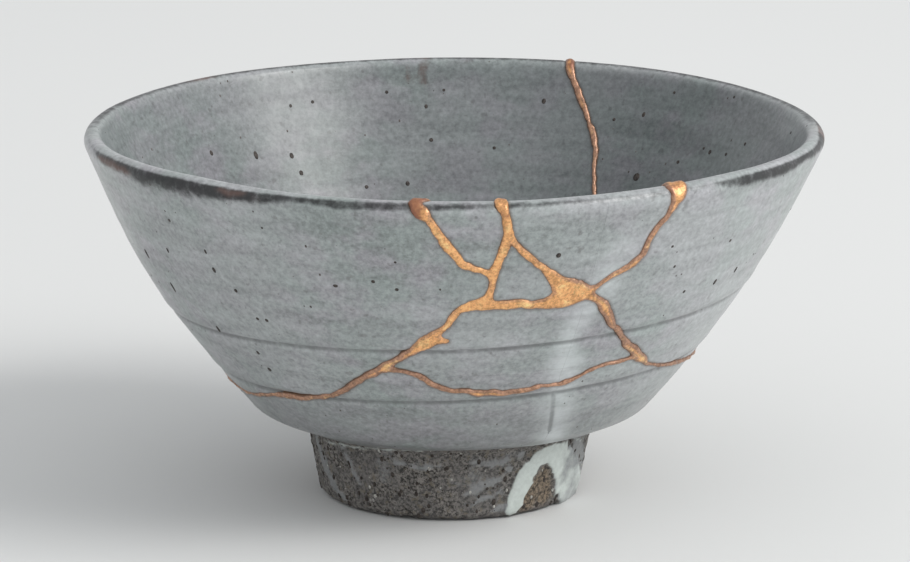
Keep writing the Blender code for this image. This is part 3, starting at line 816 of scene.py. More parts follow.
def sherd_relief(settings):
    """Makes the function that raises and marks a sherd's two faces."""
    groove_depth = settings.groove_depth / MM
    throwing = settings.throwing_relief / MM
    drop = settings.edge_drop / MM
    glaze_thickness = settings.glaze_thickness / MM
    arch_thickness = settings.arch_thickness / MM

    def dress_outside(degrees, rows, points, radius, heights, far_side, marks):
        """Fills in the outside's marks and returns how far it is raised beside the common relief."""
        on_wall = ease(-3.0, 4.0, rows)
        offset = groove_offset(degrees, heights)
        marks["groove"] = np.clip(offset, -CLEAR, CLEAR)
        high = -groove_depth * hump(offset, 0.55) * on_wall + 0.12 * hump(offset - 1.5, 1.0) * on_wall
        middle, level, half, width, depth = FAINT_GROOVE
        along = around(degrees - middle)
        high -= depth * hump(heights - level - 0.05 * along, width) * ease(half, 4.0, np.abs(along))

        edge = glaze_edge(degrees, points)
        foot = ease(2.0, -2.0, rows)
        side = ease(21.0, 25.0, radius)
        bare = ease(edge + 0.35, edge - 0.15, heights) * foot
        right_side = ease(44.0, 58.0, around(degrees))
        broken = 0.5 * grain(points, 2.1, 32) + 0.35 * grain(points, 0.9, 33)
        arch = stroke(degrees, heights, radius, FOOT_ARCH) + broken * (0.9 + 1.5 * right_side)
        arch = ease(0.35, -0.45, arch) * side
        ragged_edge = 0.7 * grain(points, 1.9, 8) + 0.6 * grain(points, 0.8, 37)
        streaks = np.zeros(len(rows))
        for streak in FOOT_STREAKS:
            distance = stroke(degrees, heights, radius, streak) + ragged_edge
            streaks = np.maximum(streaks, ease(0.8, -0.6, distance))
        streaks *= side
        rough = 0.11 * grain(points, 1.5, 10) + 0.06 * grain(points, 0.8, 12)
        pits = ease(0.45, 0.75, grain(points, 1.9, 13)) * 0.32
        tool = 0.07 * grain(points * [0.08, 0.08, 1.0], 1.4, 14)
        high += bare * (1 - arch) * (1 - 0.6 * streaks) * (rough + tool - pits)
        high += glaze_thickness * (0.6 * hump(heights - edge - 0.9, 0.7) * foot - bare)
        high += bare * (arch_thickness * arch**0.6 + 0.22 * streaks)

        run = stroke(degrees, heights, radius, PALE_RUN) + 1.2 * grain(points, 5.0, 9)
        run = ease(2.6, -2.6, run) * (1 - 0.6 * ease(50.0, 66.0, heights))
        # Painted light: the right side of the outside, where the key light falls, is made paler with the
        # pale colour
        run += 0.22 * (1 - run) * hump(around(degrees - 58.0), 24.0)
        high += 0.14 * run * on_wall
        aside = around(degrees - np.interp(heights, DASH_HEIGHTS, DASH_ANGLES)) * radius * math.pi / 180
        beyond = np.maximum(0.0, np.maximum(DASH_HEIGHTS[0] - heights, heights - DASH_HEIGHTS[1]))
        marks["dash"] = np.clip(aside * (1 + 12 * beyond**2), -CLEAR, CLEAR)
        high -= 0.15 * hump(marks["dash"], 0.4)

        rust = ease(0.8, -1.2, stroke(degrees, heights, radius, RUST_PATCH)) * bare
        for place in RUSTY_LIP:
            near = stroke(degrees, heights, radius, place) + 0.3 * grain(points, 1.2, 36)
            rust = np.maximum(rust, ease(0.6, -0.6, near))
        stain = lip_stain(degrees, heights, points, far_side) * on_wall
        # Painted shade: a dark line along the top of the lip on the far half of the bowl only
        far_crest_shade = 0.85 * far_side * ease(CREST_ROW - 2.4, CREST_ROW - 0.9, rows)
        thin = right_side * (0.35 + 0.35 * ease(-0.7, 0.7, grain(points, 3.2, 34)))
        pale_roll = hump(heights - edge - 0.15, 0.45) * foot * ease(-0.5, 0.3, grain(points, 7.0, 19))
        pale_line = hump(heights - edge + 1.2, 0.4) * foot * ease(-0.6, 0.2, grain(points, 6.0, 38))
        film = 0.5 * ease(0.1, 0.9, grain(points, 4.5, 35))
        marks["pale"] = run
        marks["white"] = np.maximum.reduce([arch * bare * (1 - thin), 0.75 * pale_roll, 0.55 * pale_line])
        marks["wash"] = bare * (1 - arch) * np.maximum(0.85 * streaks, film)
        marks["bare"] = bare * (1 - arch) * (1 - 0.45 * streaks)
        marks["rust"] = rust
        marks["stain"] = np.maximum(stain, far_crest_shade)
        return high

    def dress_inside(degrees, rows, points, radius, heights, far_side, marks):
        """The same for the inside."""
        # Painted shade: the inside is darkened from just under the crest down, most of all on the back
        # right wall, which faces away from the key light
        marks["inside"] = ease(CREST_ROW - 0.8, CREST_ROW - 4.5, rows)
        marks["inside"] *= 1 + 0.45 * hump(around(degrees - 142.0), 28.0)
        for place in BACK_SMEARS:
            near = stroke(degrees, heights, radius, place) + 0.5 * grain(points, 1.5, 17)
            marks["rust"] = np.maximum(marks["rust"], ease(0.9, -0.8, near))
        # Painted shade: the same dark line along the top of the far rim, on the inside
        far_crest_shade = 0.85 * far_side * ease(CREST_ROW - 2.5, CREST_ROW - 0.9, rows)
        marks["stain"] = np.maximum(far_crest_shade, 0.55 * marks["rust"])
        return 0.05 * grain(points * [0.12, 0.12, 1.0], 5.0, 18)

    def relief(degrees, rows, field, face):
        """The raised points (mm) of a face, and the values that its material reads."""
        points, normals, radius = surface(degrees, rows, face)
        heights = np.interp(rows, SECTION["row"], SECTION[face][:, 1])
        far_side = ease(72.0, 104.0, np.abs(around(degrees)))
        outer = face == "outer"
        high = 0.22 * grain(points, 31.0, 1) + 0.10 * grain(points, 13.0, 2)
        middle, level, reach, rise, depth = SWELLING
        bulge = depth * hump(around(degrees - middle), reach) * hump(heights - level, rise)
        high += bulge if outer else -bulge
        turned = points * [0.05, 0.05, 1.0]
        lines = grain(turned, 2.3, 3) + 0.45 * grain(turned, 1.3, 4)
        near_crest = ease(CREST_ROW - 3.0, CREST_ROW, rows)
        high += throwing * lines * (1.0 if outer else 1.5) * (1 - near_crest)
        high *= ease(-3.0, 4.0, rows) if outer else 1.0
        high -= drop * np.clip(1 - (field - SHERD_EDGE) / 0.65, 0.0, 1.0) ** 2
        marks = {"gap": np.clip(field, -1.0, 4.0)}
        marks.update((name, np.full(len(rows), CLEAR)) for name in ("groove", "dash"))
        marks.update((name, np.zeros(len(rows))) for name in PAINTED)
        dress = dress_outside if outer else dress_inside
        high += dress(degrees, rows, points, radius, heights, far_side, marks)
        raised = points + high[:, None] * normals
        if outer:
            raised[:, 2] = np.maximum(raised[:, 2], 0.0)
        return raised, marks

    return relief


# Materials


def scaled(colour, share):
    """A colour of three parts, darker or lighter by a share."""
    return [share * part for part in colour]


class Nodes:
    """A node tree, with short ways to add the nodes that this script uses."""

    def __init__(self, tree):
        self.tree = tree
        self.places = {}

    def give(self, node, key, value):
        """Sets an input, or links it where the value is a socket."""
        if isinstance(value, bpy.types.NodeSocket):
            self.tree.links.new(value, node.inputs[key])
        else:
            node.inputs[key].default_value = value

    def add(self, kind, inputs, **settings):
        """Adds a node with its settings and its inputs."""
        node = self.tree.nodes.new(kind)
        for name, value in settings.items():
            setattr(node, name, value)
        for key, value in inputs.items():
            self.give(node, key, value)
        return node

    def math(self, operation, first, second, clamp=False):
        inputs = {0: first, 1: second}
        return self.add("ShaderNodeMath", inputs, operation=operation, use_clamp=clamp).outputs[0]

    def times(self, first, second):
        return self.math("MULTIPLY", first, second)

    def spread(self, value, low, high, new_low=0.0, new_high=1.0, smooth=True):
        """Maps a range of a value onto another one, and stops at both ends."""
        inputs = {"Value": value, "From Min": low, "From Max": high, "To Min": new_low, "To Max": new_high}
        kind = "SMOOTHSTEP" if smooth else "LINEAR"
        return self.add("ShaderNodeMapRange", inputs, interpolation_type=kind).outputs["Result"]

    def mark(self, name):
        """A value that the mesh carries at each vertex."""
        return self.add("ShaderNodeAttribute", {}, attribute_name=name).outputs["Fac"]

    def named(self, name, kind):
        """The same in a Geometry Nodes tree."""
        return self.add("GeometryNodeInputNamedAttribute", {"Name": name}, data_type=kind).outputs[0]

    def place(self, squeeze=(1.0, 1.0, 1.0)):
        """Object coordinates, squeezed or stretched along each axis."""
        if squeeze not in self.places:
            where = self.tree.nodes.new("ShaderNodeTexCoord").outputs["Object"]
            mapped = self.add("ShaderNodeMapping", {"Vector": where, "Scale": squeeze})
            self.places[squeeze] = mapped.outputs["Vector"]
        return self.places[squeeze]

    def noise(self, per_metre, detail=3.0, roughness=0.55, squeeze=(1.0, 1.0, 1.0)):
        """Noise whose patches number this many to a metre."""
        inputs = {"Vector": self.place(squeeze), "Scale": per_metre}
        inputs.update({"Detail": detail, "Roughness": roughness})
        return self.add("ShaderNodeTexNoise", inputs).outputs["Fac"]

    def uneven(self, value, noise, low, high, first=0.3, last=0.7):
        """A value with noise added, which runs from low to high between its first and last level."""
        return self.math("ADD", value, self.spread(noise, first, last, low, high, False))

    def mix(self, factor, first, second, blend="MIX"):
        """One colour laid over another by a factor."""
        first, second = (value if isinstance(value, bpy.types.NodeSocket) else (*value, 1.0)
                         for value in (first, second))
        inputs = {0: factor, 6: first, 7: second}
        return self.add("ShaderNodeMix", inputs, data_type="RGBA", blend_type=blend).outputs[2]

    def shaded(self, colour, light):
        """A colour made darker or lighter by a grey."""
        grey = self.add("ShaderNodeCombineColor", {0: light, 1: light, 2: light}).outputs[0]
        return self.mix(1.0, colour, grey, "MULTIPLY")

    def bumps(self, *layers):
        """Bumps one over another, each with its height, strength and distance."""
        over = {}
        for height, strength, distance in layers:
            inputs = {"Height": height, "Strength": strength, "Distance": distance, **over}
            over = {"Normal": self.add("ShaderNodeBump", inputs).outputs[0]}
        return over["Normal"]


def new_material(name, view_colour):
    """A material with its nodes and its shader."""
    material = bpy.data.materials.new(name)
    material.use_nodes = True
    material.diffuse_color = (*view_colour, 1.0)
    return material, Nodes(material.node_tree), material.node_tree.nodes["Principled BSDF"]


def glaze_material(settings):
    """Satin grey-blue stoneware glaze, with its runs and stains, over bare clay at the foot."""
    material, nodes, shader = new_material("satin_glaze", settings.glaze_colour)
    clouds = nodes.noise(34.0, 4.0)
    fine = nodes.noise(900.0, 4.0, 0.7)
    crumbs = nodes.noise(520.0, 3.0, 0.7)
    bands = nodes.noise(420.0, 4.0, 0.6, TURNED)
    tint = nodes.spread(nodes.noise(95.0, squeeze=(1.0, 1.0, 1.6)), 0.38, 0.66)
    colour = nodes.mix(tint, settings.glaze_green, settings.glaze_violet)
    colour = nodes.mix(nodes.spread(clouds, 0.30, 0.72, 0.15, 0.9), colour, settings.glaze_colour)
    light = nodes.uneven(nodes.spread(fine, 0.25, 0.75, 0.62, 1.36, False), bands, -0.12, 0.12)
    light = nodes.uneven(light, nodes.noise(60.0, 4.0, squeeze=FLOWING), -0.12, 0.12)
    light = nodes.uneven(light, clouds, -0.11, 0.11, 0.25, 0.75)
    # Painted shade: the glaze is darkened towards the foot, where the lower wall faces down
    height = nodes.add("ShaderNodeSeparateXYZ", {0: nodes.place()}).outputs[2]
    light = nodes.times(light, nodes.spread(height, 0.016, 0.036, 0.60, 1.0))
    colour = nodes.shaded(colour, light)
    freckles = nodes.spread(nodes.noise(480.0, 2.0, 0.5), 0.64, 0.74, 0.0, 0.42)
    colour = nodes.mix(freckles, colour, FRECKLE)
    # Painted shade inside the bowl
    inside = nodes.mark("inside")
    colour = nodes.mix(nodes.times(inside, settings.inside_painted_shade), colour, PAINTED_INSIDE_SHADE)

    # The pale run, and the painted light on the right side of the outside
    flow = nodes.spread(nodes.noise(110.0, squeeze=FLOWING), 0.25, 0.7, 0.45, 1.0)
    pale = nodes.times(nodes.times(nodes.mark("pale"), flow), 0.74)
    colour = nodes.mix(pale, colour, settings.pale_colour)
    # Painted shade in the two turning grooves; the same colour also draws the short dark line in the pale
    # run
    lines = [nodes.add("ShaderNodeMath", {0: nodes.mark(name)}, operation="ABSOLUTE").outputs[0]
             for name in ("groove", "dash")]
    line = nodes.spread(nodes.math("MINIMUM", *lines), 0.15, 0.75, 0.56, 0.0)
    line = nodes.times(line, nodes.spread(nodes.noise(140.0), 0.3, 0.55, 0.45, 1.0))
    colour = nodes.mix(line, colour, GROOVE_SHADE_AND_DARK_DASH)

    # The iron stain, with the painted shade along the far rim's top
    stain = nodes.spread(nodes.uneven(nodes.mark("stain"), crumbs, -0.22, 0.18), 0.12, 1.0)
    rusty = nodes.mark("rust")
    red = nodes.math("ADD", nodes.spread(nodes.noise(75.0, 2.0), 0.60, 0.76), rusty, True)
    iron = nodes.mix(red, settings.iron_colour, RUSTY_IRON)
    colour = nodes.mix(nodes.times(stain, 0.90), colour, iron)
    colour = nodes.mix(nodes.spread(nodes.mark("gap"), -0.1, 0.6, 0.40, 0.0), colour, SEAM_SHADOW)

    clay_grain = nodes.noise(1500.0, 4.0, 0.75)
    clay = nodes.mix(nodes.spread(clay_grain, 0.38, 0.62),
                     scaled(settings.clay_colour, 0.26), scaled(settings.clay_colour, 3.1))
    clay = nodes.mix(nodes.spread(nodes.noise(210.0, 4.0, 0.65), 0.35, 0.66, 0.0, 0.55), clay, CLAY_CLOUD)
    clay = nodes.mix(nodes.spread(nodes.noise(780.0, 2.0, 0.5), 0.58, 0.68, 0.0, 0.6), clay, OCHRE)
    wash = nodes.spread(nodes.uneven(nodes.mark("wash"), crumbs, -0.34, 0.30), 0.25, 0.9, 0.0, 0.72)
    clay = nodes.mix(wash, clay, settings.wash_colour)
    rusty_clay = nodes.mix(nodes.spread(clay_grain, 0.4, 0.6), *RUSTY_CLAY)
    clay = nodes.mix(nodes.times(rusty, 0.7), clay, rusty_clay)
    bare = nodes.spread(nodes.uneven(nodes.mark("bare"), crumbs, -0.16, 0.16), 0.30, 0.62)
    colour = nodes.mix(bare, colour, clay)
    white = nodes.spread(nodes.uneven(nodes.mark("white"), crumbs, -0.14, 0.14), 0.2, 0.75)
    darker_white = scaled(settings.white_colour, 0.86)
    thick = nodes.mix(nodes.spread(fine, 0.3, 0.7), settings.white_colour, darker_white)
    nodes.give(shader, "Base Color", nodes.mix(white, colour, thick))

    rough = nodes.spread(nodes.noise(260.0), 0.3, 0.7, 0.30, 0.44, False)
    nodes.give(shader, "Roughness", nodes.math("ADD", rough, nodes.times(bare, 0.45), True))
    dulled = nodes.math("SUBTRACT", 1.0, nodes.times(stain, 0.75))
    shine = nodes.times(dulled, nodes.spread(inside, 0.0, 1.0, 0.5, 0.36, False))
    nodes.give(shader, "Specular IOR Level", shine)
    glassy = nodes.math("SUBTRACT", 0.35, nodes.times(bare, 0.35), True)
    glassy = nodes.times(glassy, nodes.spread(inside, 0.0, 1.0, 1.0, 0.45, False))
    nodes.give(shader, "Coat Weight", nodes.times(glassy, dulled))
    nodes.give(shader, "Coat Roughness", 0.2)
    nodes.give(shader, "Normal", nodes.bumps(
        (nodes.noise(620.0, 3.0, 0.5), 0.18, 0.00012), (bands, 0.35, 0.00016),
        (clay_grain, nodes.times(bare, 0.8), 0.00035)))
    return material


def gold_material(settings):
    """Brushed gold powder on lacquer: grainy where thick, rose-brown where thin, dark at its edge."""
    material, nodes, shader = new_material("gold_lacquer", settings.gold_colour)
    depth = nodes.mark("depth")
    powder = nodes.noise(1700.0, 4.0, 0.7)
    wrinkles = nodes.noise(650.0, 3.0, 0.6)
    patches = nodes.noise(130.0)
    thick = nodes.uneven(nodes.mark("thick"), patches, -0.25, 0.25)
    colour = nodes.mix(nodes.spread(thick, 0.1, 0.8), settings.dull_colour, settings.gold_colour)
    # Painted highlight: yellow glints on the raised middle of the bead
    glint = nodes.spread(nodes.noise(300.0, 3.0, 0.6), 0.52, 0.66, 0.0, 0.6)
    glint = nodes.times(glint, nodes.spread(depth, 0.30, 0.70))
    colour = nodes.mix(glint, colour, settings.glint_colour)
    speckle = nodes.spread(powder, 0.34, 0.68, 0.62, 1.34, False)
    fold = nodes.spread(wrinkles, 0.28, 0.60, 0.72, 1.10)
    colour = nodes.shaded(colour, nodes.times(speckle, fold))
    worn = nodes.spread(nodes.uneven(nodes.mark("worn"), wrinkles, -0.3, 0.3), 0.3, 0.8)
    colour = nodes.mix(nodes.times(worn, 0.85), colour, settings.rust_colour)
    edge = nodes.spread(nodes.uneven(depth, patches, -0.09, 0.12), 0.05, 0.27, 0.92, 0.0)
    nodes.give(shader, "Base Color", nodes.mix(edge, colour, settings.lacquer_colour))
    bright = nodes.math("SUBTRACT", 0.78, nodes.times(edge, 0.7), True)
    nodes.give(shader, "Metallic", nodes.math("SUBTRACT", bright, nodes.times(worn, 0.4), True))
    nodes.give(shader, "Roughness", nodes.spread(powder, 0.3, 0.7, 0.30, 0.53, False))
    nodes.give(shader, "Normal", nodes.bumps((wrinkles, 0.6, 0.00030), (powder, 0.45, 0.00008)))
    return material


def mottled_material(name, colour, per_metre, low, shares, specular, roughness):
    """A plain surface between two shares of a colour; its noise is spread out evenly about a half."""
    material, nodes, shader = new_material(name, colour)
    cloud = nodes.spread(nodes.noise(per_metre, 2.0), low, 1.0 - low)
    nodes.give(shader, "Base Color", nodes.mix(cloud, scaled(colour, shares[0]), scaled(colour, shares[1])))
    nodes.give(shader, "Specular IOR Level", specular)
    nodes.give(shader, "Roughness", roughness)
    return material


def grain_material(name, colour, roughness):
    """The material of small grains and spots."""
    return mottled_material(name, colour, 1900.0, 0.35, (0.6, 1.35), 0.25, roughness)


# Geometry Nodes


def new_tree(name, inputs):
    """An empty Geometry Nodes tree with named inputs after its geometry."""
    tree = bpy.data.node_groups.new(name, "GeometryNodeTree")
    tree.is_modifier = True
    tree.interface.new_socket("Geometry", in_out="INPUT", socket_type="NodeSocketGeometry")
    for label, (kind, value) in inputs.items():
        socket = tree.interface.new_socket(label, in_out="INPUT", socket_type=kind)
        if value is not None:
            socket.default_value = value
    tree.interface.new_socket("Geometry", in_out="OUTPUT", socket_type="NodeSocketGeometry")
    return Nodes(tree), tree.nodes.new("NodeGroupInput").outputs


def end_tree(nodes, points, turn, scale, material):
    """Puts a flat round grain of 40 faces on each point, realizes them all and closes the tree."""
    ball = nodes.add("GeometryNodeMeshUVSphere", {"Segments": 8, "Rings": 5, "Radius": 1.0})
    grains = nodes.add("GeometryNodeInstanceOnPoints",
                       {"Points": points, "Instance": ball.outputs[0], "Rotation": turn, "Scale": scale})
    real = nodes.add("GeometryNodeRealizeInstances", {"Geometry": grains.outputs[0]})
    smooth = nodes.add("GeometryNodeSetShadeSmooth", {"Geometry": real.outputs[0]})
    painted = nodes.add("GeometryNodeSetMaterial", {"Geometry": smooth.outputs[0], "Material": material})
    nodes.give(nodes.tree.nodes.new("NodeGroupOutput"), 0, painted.outputs[0])
    return nodes.tree


def placed_spots_tree():
    """Puts a flat grain on each point, by the normal, size and stretch that the point carries."""
    nodes, given = new_tree("placed_spots", {
        "Flatness": ("NodeSocketFloat", 0.16),
        "Material": ("NodeSocketMaterial", None),
    })
    size, tall = (nodes.named(name, "FLOAT") for name in ("size", "tall"))
    ways = {"Primary Axis": nodes.named("way_out", "FLOAT_VECTOR"),
            "Secondary Axis": nodes.named("way_up", "FLOAT_VECTOR")}
    turn = nodes.add("FunctionNodeAxesToRotation", ways, primary_axis="Z", secondary_axis="Y").outputs[0]
    sides = {0: size, 1: nodes.times(size, tall), 2: nodes.times(size, given["Flatness"])}
    scale = nodes.add("ShaderNodeCombineXYZ", sides).outputs[0]
    return end_tree(nodes, given["Geometry"], turn, scale, given["Material"])


def scattered_grains_tree():
    """Scatters flat grains of random size over the faces of a surface."""
    nodes, given = new_tree("scattered_grains", {
        "Density": ("NodeSocketFloat", 20000.0),
        "Smallest": ("NodeSocketFloat", 0.0001),
        "Largest": ("NodeSocketFloat", 0.0003),
        "Flatness": ("NodeSocketFloat", 0.3),
        "Seed": ("NodeSocketInt", 1),
        "Material": ("NodeSocketMaterial", None),
    })
    seed = given["Seed"]
    points = nodes.add("GeometryNodeDistributePointsOnFaces",
                       {"Mesh": given["Geometry"], "Density": given["Density"], "Seed": seed},
                       distribute_method="RANDOM").outputs
    pick, stretch = (
        nodes.add("FunctionNodeRandomValue", {"Min": low, "Max": high, "Seed": seed},
                  data_type="FLOAT").outputs["Value"]
        for low, high in ((0.0, 1.0), (0.7, 1.5))
    )
    span = nodes.math("SUBTRACT", given["Largest"], given["Smallest"])
    size = nodes.math("MULTIPLY_ADD", nodes.math("POWER", pick, 2.5), span)
    nodes.give(size.node, 2, given["Smallest"])
    sides = {0: size, 1: nodes.times(size, stretch), 2: nodes.times(size, given["Flatness"])}
    scale = nodes.add("ShaderNodeCombineXYZ", sides).outputs[0]
    return end_tree(nodes, points["Points"], points["Rotation"], scale, given["Material"])


def grown(name, base, tree, values):
    """Runs a tree over a mesh and returns the result as a plain piece."""
    carrier = bpy.data.objects.new(f"{name}_carrier", base)
    bpy.context.scene.collection.objects.link(carrier)
    modifier = carrier.modifiers.new("nodes", "NODES")
    modifier.node_group = tree
    for socket in tree.interface.items_tree:
        if socket.item_type == "SOCKET" and socket.in_out == "INPUT" and socket.name in values:
            modifier[socket.identifier] = values[socket.name]
    bpy.context.view_layer.update()
    graph = bpy.context.evaluated_depsgraph_get()
    data = bpy.data.meshes.new_from_object(carrier.evaluated_get(graph))
    bpy.data.objects.remove(carrier)
    bpy.data.meshes.remove(base)
    data.name = name
    piece = bpy.data.objects.new(name, data)
    bpy.context.scene.collection.objects.link(piece)
    if not data.polygons:
        raise RuntimeError(f"{name} has no faces")
    return piece


def spot_points(relief):
    """A mesh of points on the raised glaze, one for each iron spot, with its normal, size and stretch."""
    places, normals, uphill, sizes, talls = [], [], [], [], []
    for spots, face in ((SPOTS_OUTSIDE, "outer"), (SPOTS_INSIDE, "inner")):
        wall = slice(SECTION["wall_start"], SECTION["wall_end"] + 1)
        for degrees, height, size, tall in spots:
            row = np.interp(height, SECTION[face][wall, 1], SECTION["row"][wall])
            angles, rows = np.array([degrees, degrees]), np.array([row, row + 0.5])
            points, directions, _ = surface(angles, rows, face)
            places.append(relief(angles, rows, np.array([4.0, 4.0]), face)[0][0])
            normals.append(directions[0])
            uphill.append(points[1] - points[0])
            sizes.append(1.2 * size * MM)
            talls.append(tall)
    data = bpy.data.meshes.new("spot_points")
    data.from_pydata((np.array(places) * MM).tolist(), [], [])
    for name, values in (("way_out", normals), ("way_up", uphill)):
        layer = data.attributes.new(name, "FLOAT_VECTOR", "POINT")
        layer.data.foreach_set("vector", np.array(values, np.float32).ravel())
    for name, values in (("size", sizes), ("tall", talls)):
        data.attributes.new(name, "FLOAT", "POINT").data.foreach_set("value", np.array(values, np.float32))
    return data


def faces_where(pieces, test):
    """A mesh of the pieces' faces whose middle passes a test of its place and marks."""
    mesh = bmesh.new()
    for piece in pieces:
        data = piece.data
        places = np.empty(3 * len(data.vertices), np.float32)
        data.vertices.foreach_get("co", places)
        places = places.reshape(-1, 3) / MM
        marks = {}
        for name in ("gap", "bare"):
            marks[name] = np.empty(len(data.vertices), np.float32)
            data.attributes[name].data.foreach_get("value", marks[name])
        good = test(places, marks)
        copies = {}
        for face in data.polygons:
            if all(good[index] for index in face.vertices):
                ring = []
                for index in face.vertices:
                    if index not in copies:
                        copies[index] = mesh.verts.new(data.vertices[index].co)
                    ring.append(copies[index])
                mesh.faces.new(ring)
    data = bpy.data.meshes.new("carrier")
    mesh.to_mesh(data)
    mesh.free()
    return data


# Operators


def sherd_rows(row_height):
    """The rows of the sherds' grid, from the axis under the foot to the crest of the lip."""
    foot_side = np.interp(FOOT_EDGE + 1.0, SECTION["outer"][400:, 1], SECTION["row"][400:])
    ring_start = float(SECTION["row"][np.searchsorted(SECTION["outer"][:400, 0], 18.0)])
    stations = (
        (LOWEST_ROW, ring_start, 2.0), (ring_start, foot_side, 0.9), (foot_side, 0.0, 0.66),
        (0.0, LIP_ROW, row_height), (LIP_ROW, CREST_ROW, 0.36),
    )
    rows = [np.linspace(low, high, max(1, round((high - low) / step)) + 1)[:-1]
            for low, high, step in stations]
    return np.append(np.concatenate(rows), CREST_ROW)


class TEABOWL_OT_sherds(bpy.types.Operator):
    """Build the seven glazed sherds, cut along the cracks"""

    bl_idname = "teabowl.sherds"
    bl_label = "Glazed Sherds"

    def execute(self, context):
        settings = context.scene.tea_bowl.sherds
        angles = np.linspace(GRID_START, GRID_START + 360.0, settings.columns + 1)
        rows = sherd_rows(settings.row_height / MM)
        grid = fine_grid(context.scene.tea_bowl.lacquer)
        points, faces = sheet(angles, rows, grid, SHERD_EDGE, False, (0.5,), 2)
        labels = parts_of(len(points), faces)
        material = glaze_material(settings)
        relief = sherd_relief(settings)
        for name, (node, degrees, height) in SHERDS.items():
            row = float(row_at(height))
            radius = np.interp(row, SECTION["row"], SECTION["outer"][:, 0]) * math.pi / 180
            away = np.hypot(around(points[:, 0] - degrees) * radius, points[:, 1] - row)
            away[points[:, 2] < 0.5] = 1e6
            label = labels[np.argmin(away)]
            own = [face for face in faces if labels[face[0]] == label]
            piece = closed_piece(name, points, own, relief, material)
            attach(piece, "root")
            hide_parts(node)
        return {"FINISHED"}


class TEABOWL_OT_lacquer(bpy.types.Operator):
    """Build the network of gold lacquer that fills the cracks"""

    bl_idname = "teabowl.lacquer"
    bl_label = "Gold Lacquer"

    def execute(self, context):
        settings = context.scene.tea_bowl.lacquer
        grid = fine_grid(settings)
        points, faces = sheet(grid[0], grid[1], grid, 0.0, True, (-0.25,), 0)
        labels = parts_of(len(points), faces)
        names, sizes = np.unique(labels[[face[0] for face in faces]], return_counts=True)
        main_label = names[np.argmax(sizes)]
        faces = [face for face in faces if labels[face[0]] == main_label]
        height = settings.bead_height / MM
        shoulder = settings.bead_shoulder / MM

        def relief(degrees, rows, field, face):
            points, normals, _ = surface(degrees, rows, face)
            depth = np.maximum(-field, 0.0)
            rise = 1 - (1 - np.minimum(depth / shoulder, 1.0)) ** 2
            folds = 0.13 * grain(points, 1.7, 21) + 0.11 * grain(points, 0.8, 22)
            on_lip = ease(LIP_ROW - 1.5, LIP_ROW + 1.0, rows)
            high = -0.14 + 0.14 * ease(0.0, 0.12, depth) + rise * (height + folds)
            high += 0.15 * on_lip * rise
            bright = hump(around(degrees - 7.0), 15.0) * ease(38.0, 50.0, points[:, 2])
            rim_wear = np.zeros(len(rows))
            for angle, reach, strength, rise in RIM_WEAR:
                near = strength * hump(around(degrees - angle), reach)
                rim_wear += near * ease(LIP_ROW, LIP_ROW + rise, rows) if rise else near
            marks = {
                "depth": depth,
                "thick": 0.75 * ease(0.42, 1.25, depth) + 0.62 * bright,
                "worn": rim_wear * ease(LIP_ROW - 1.4, LIP_ROW + 0.4, rows),
            }
            return points + high[:, None] * normals, marks

        piece = closed_piece("gold_lacquer", points, faces, relief, gold_material(settings))
        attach(piece, "root")
        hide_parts("gold_seams")
        return {"FINISHED"}


def scattered(name, material, colour, carrier, density, seed, kind):
    """Scatters one kind of grain over a carrier mesh."""
    smallest, largest, flatness, roughness = kind
    return grown(name, carrier, scattered_grains_tree(), {
        "Density": density, "Smallest": smallest, "Largest": largest, "Flatness": flatness, "Seed": seed,
        "Material": grain_material(material, colour, roughness)})


def sherd_pieces():
    """The finished sherds, which the grains lie on."""
    pieces = [bpy.data.objects.get(name) for name in SHERDS]
    if None in pieces:
        raise RuntimeError("the sherds come before the grains")
    return pieces


class TEABOWL_OT_iron_spots(bpy.types.Operator):
    """Set the large iron spots in the glaze where the bowl has them"""

    bl_idname = "teabowl.iron_spots"
    bl_label = "Iron Spots"

    def execute(self, context):
        colour = context.scene.tea_bowl.grains.spot_colour
        relief = sherd_relief(context.scene.tea_bowl.sherds)
        piece = grown("iron_spots", spot_points(relief), placed_spots_tree(),
                      {"Flatness": 0.16, "Material": grain_material("iron_spot", colour, 0.6)})
        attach(piece, "root")
        return {"FINISHED"}


class TEABOWL_OT_iron_specks(bpy.types.Operator):
    """Scatter the small iron specks over the glaze"""

    bl_idname = "teabowl.iron_specks"
    bl_label = "Iron Specks"

    def execute(self, context):
        settings = context.scene.tea_bowl.grains
        carrier = faces_where(sherd_pieces(), lambda places, marks:
                              (marks["gap"] > 0.8) & (marks["bare"] < 0.1) & (places[:, 2] > 14.0))
        piece = scattered("iron_specks", "iron_speck", scaled(settings.spot_colour, 1.6), carrier,
                          settings.speck_density, settings.seed, SPECK)
        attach(piece, "root")
        return {"FINISHED"}


class TEABOWL_OT_foot_grit(bpy.types.Operator):
    """Scatter pale and dark grains over the bare clay of the foot"""

    bl_idname = "teabowl.foot_grit"
    bl_label = "Foot Grit"

    def execute(self, context):
        settings = context.scene.tea_bowl.grains
        kinds = (
            ("foot_grit_pale", settings.grit_colour, settings.grit_density, PALE_GRIT),
            ("foot_grit_dark", settings.spot_colour, settings.pit_density, DARK_GRIT),
        )
        for number, (name, colour, density, kind) in enumerate(kinds):
            carrier = faces_where(sherd_pieces()[:1], lambda places, marks:
                                  (marks["bare"] > 0.5) & (places[:, 2] > 0.6)
                                  & (np.hypot(places[:, 0], places[:, 1]) > 24.0))
            piece = scattered(name, name, colour, carrier, density, settings.seed + number + 1, kind)
            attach(piece, "root")
        return {"FINISHED"}


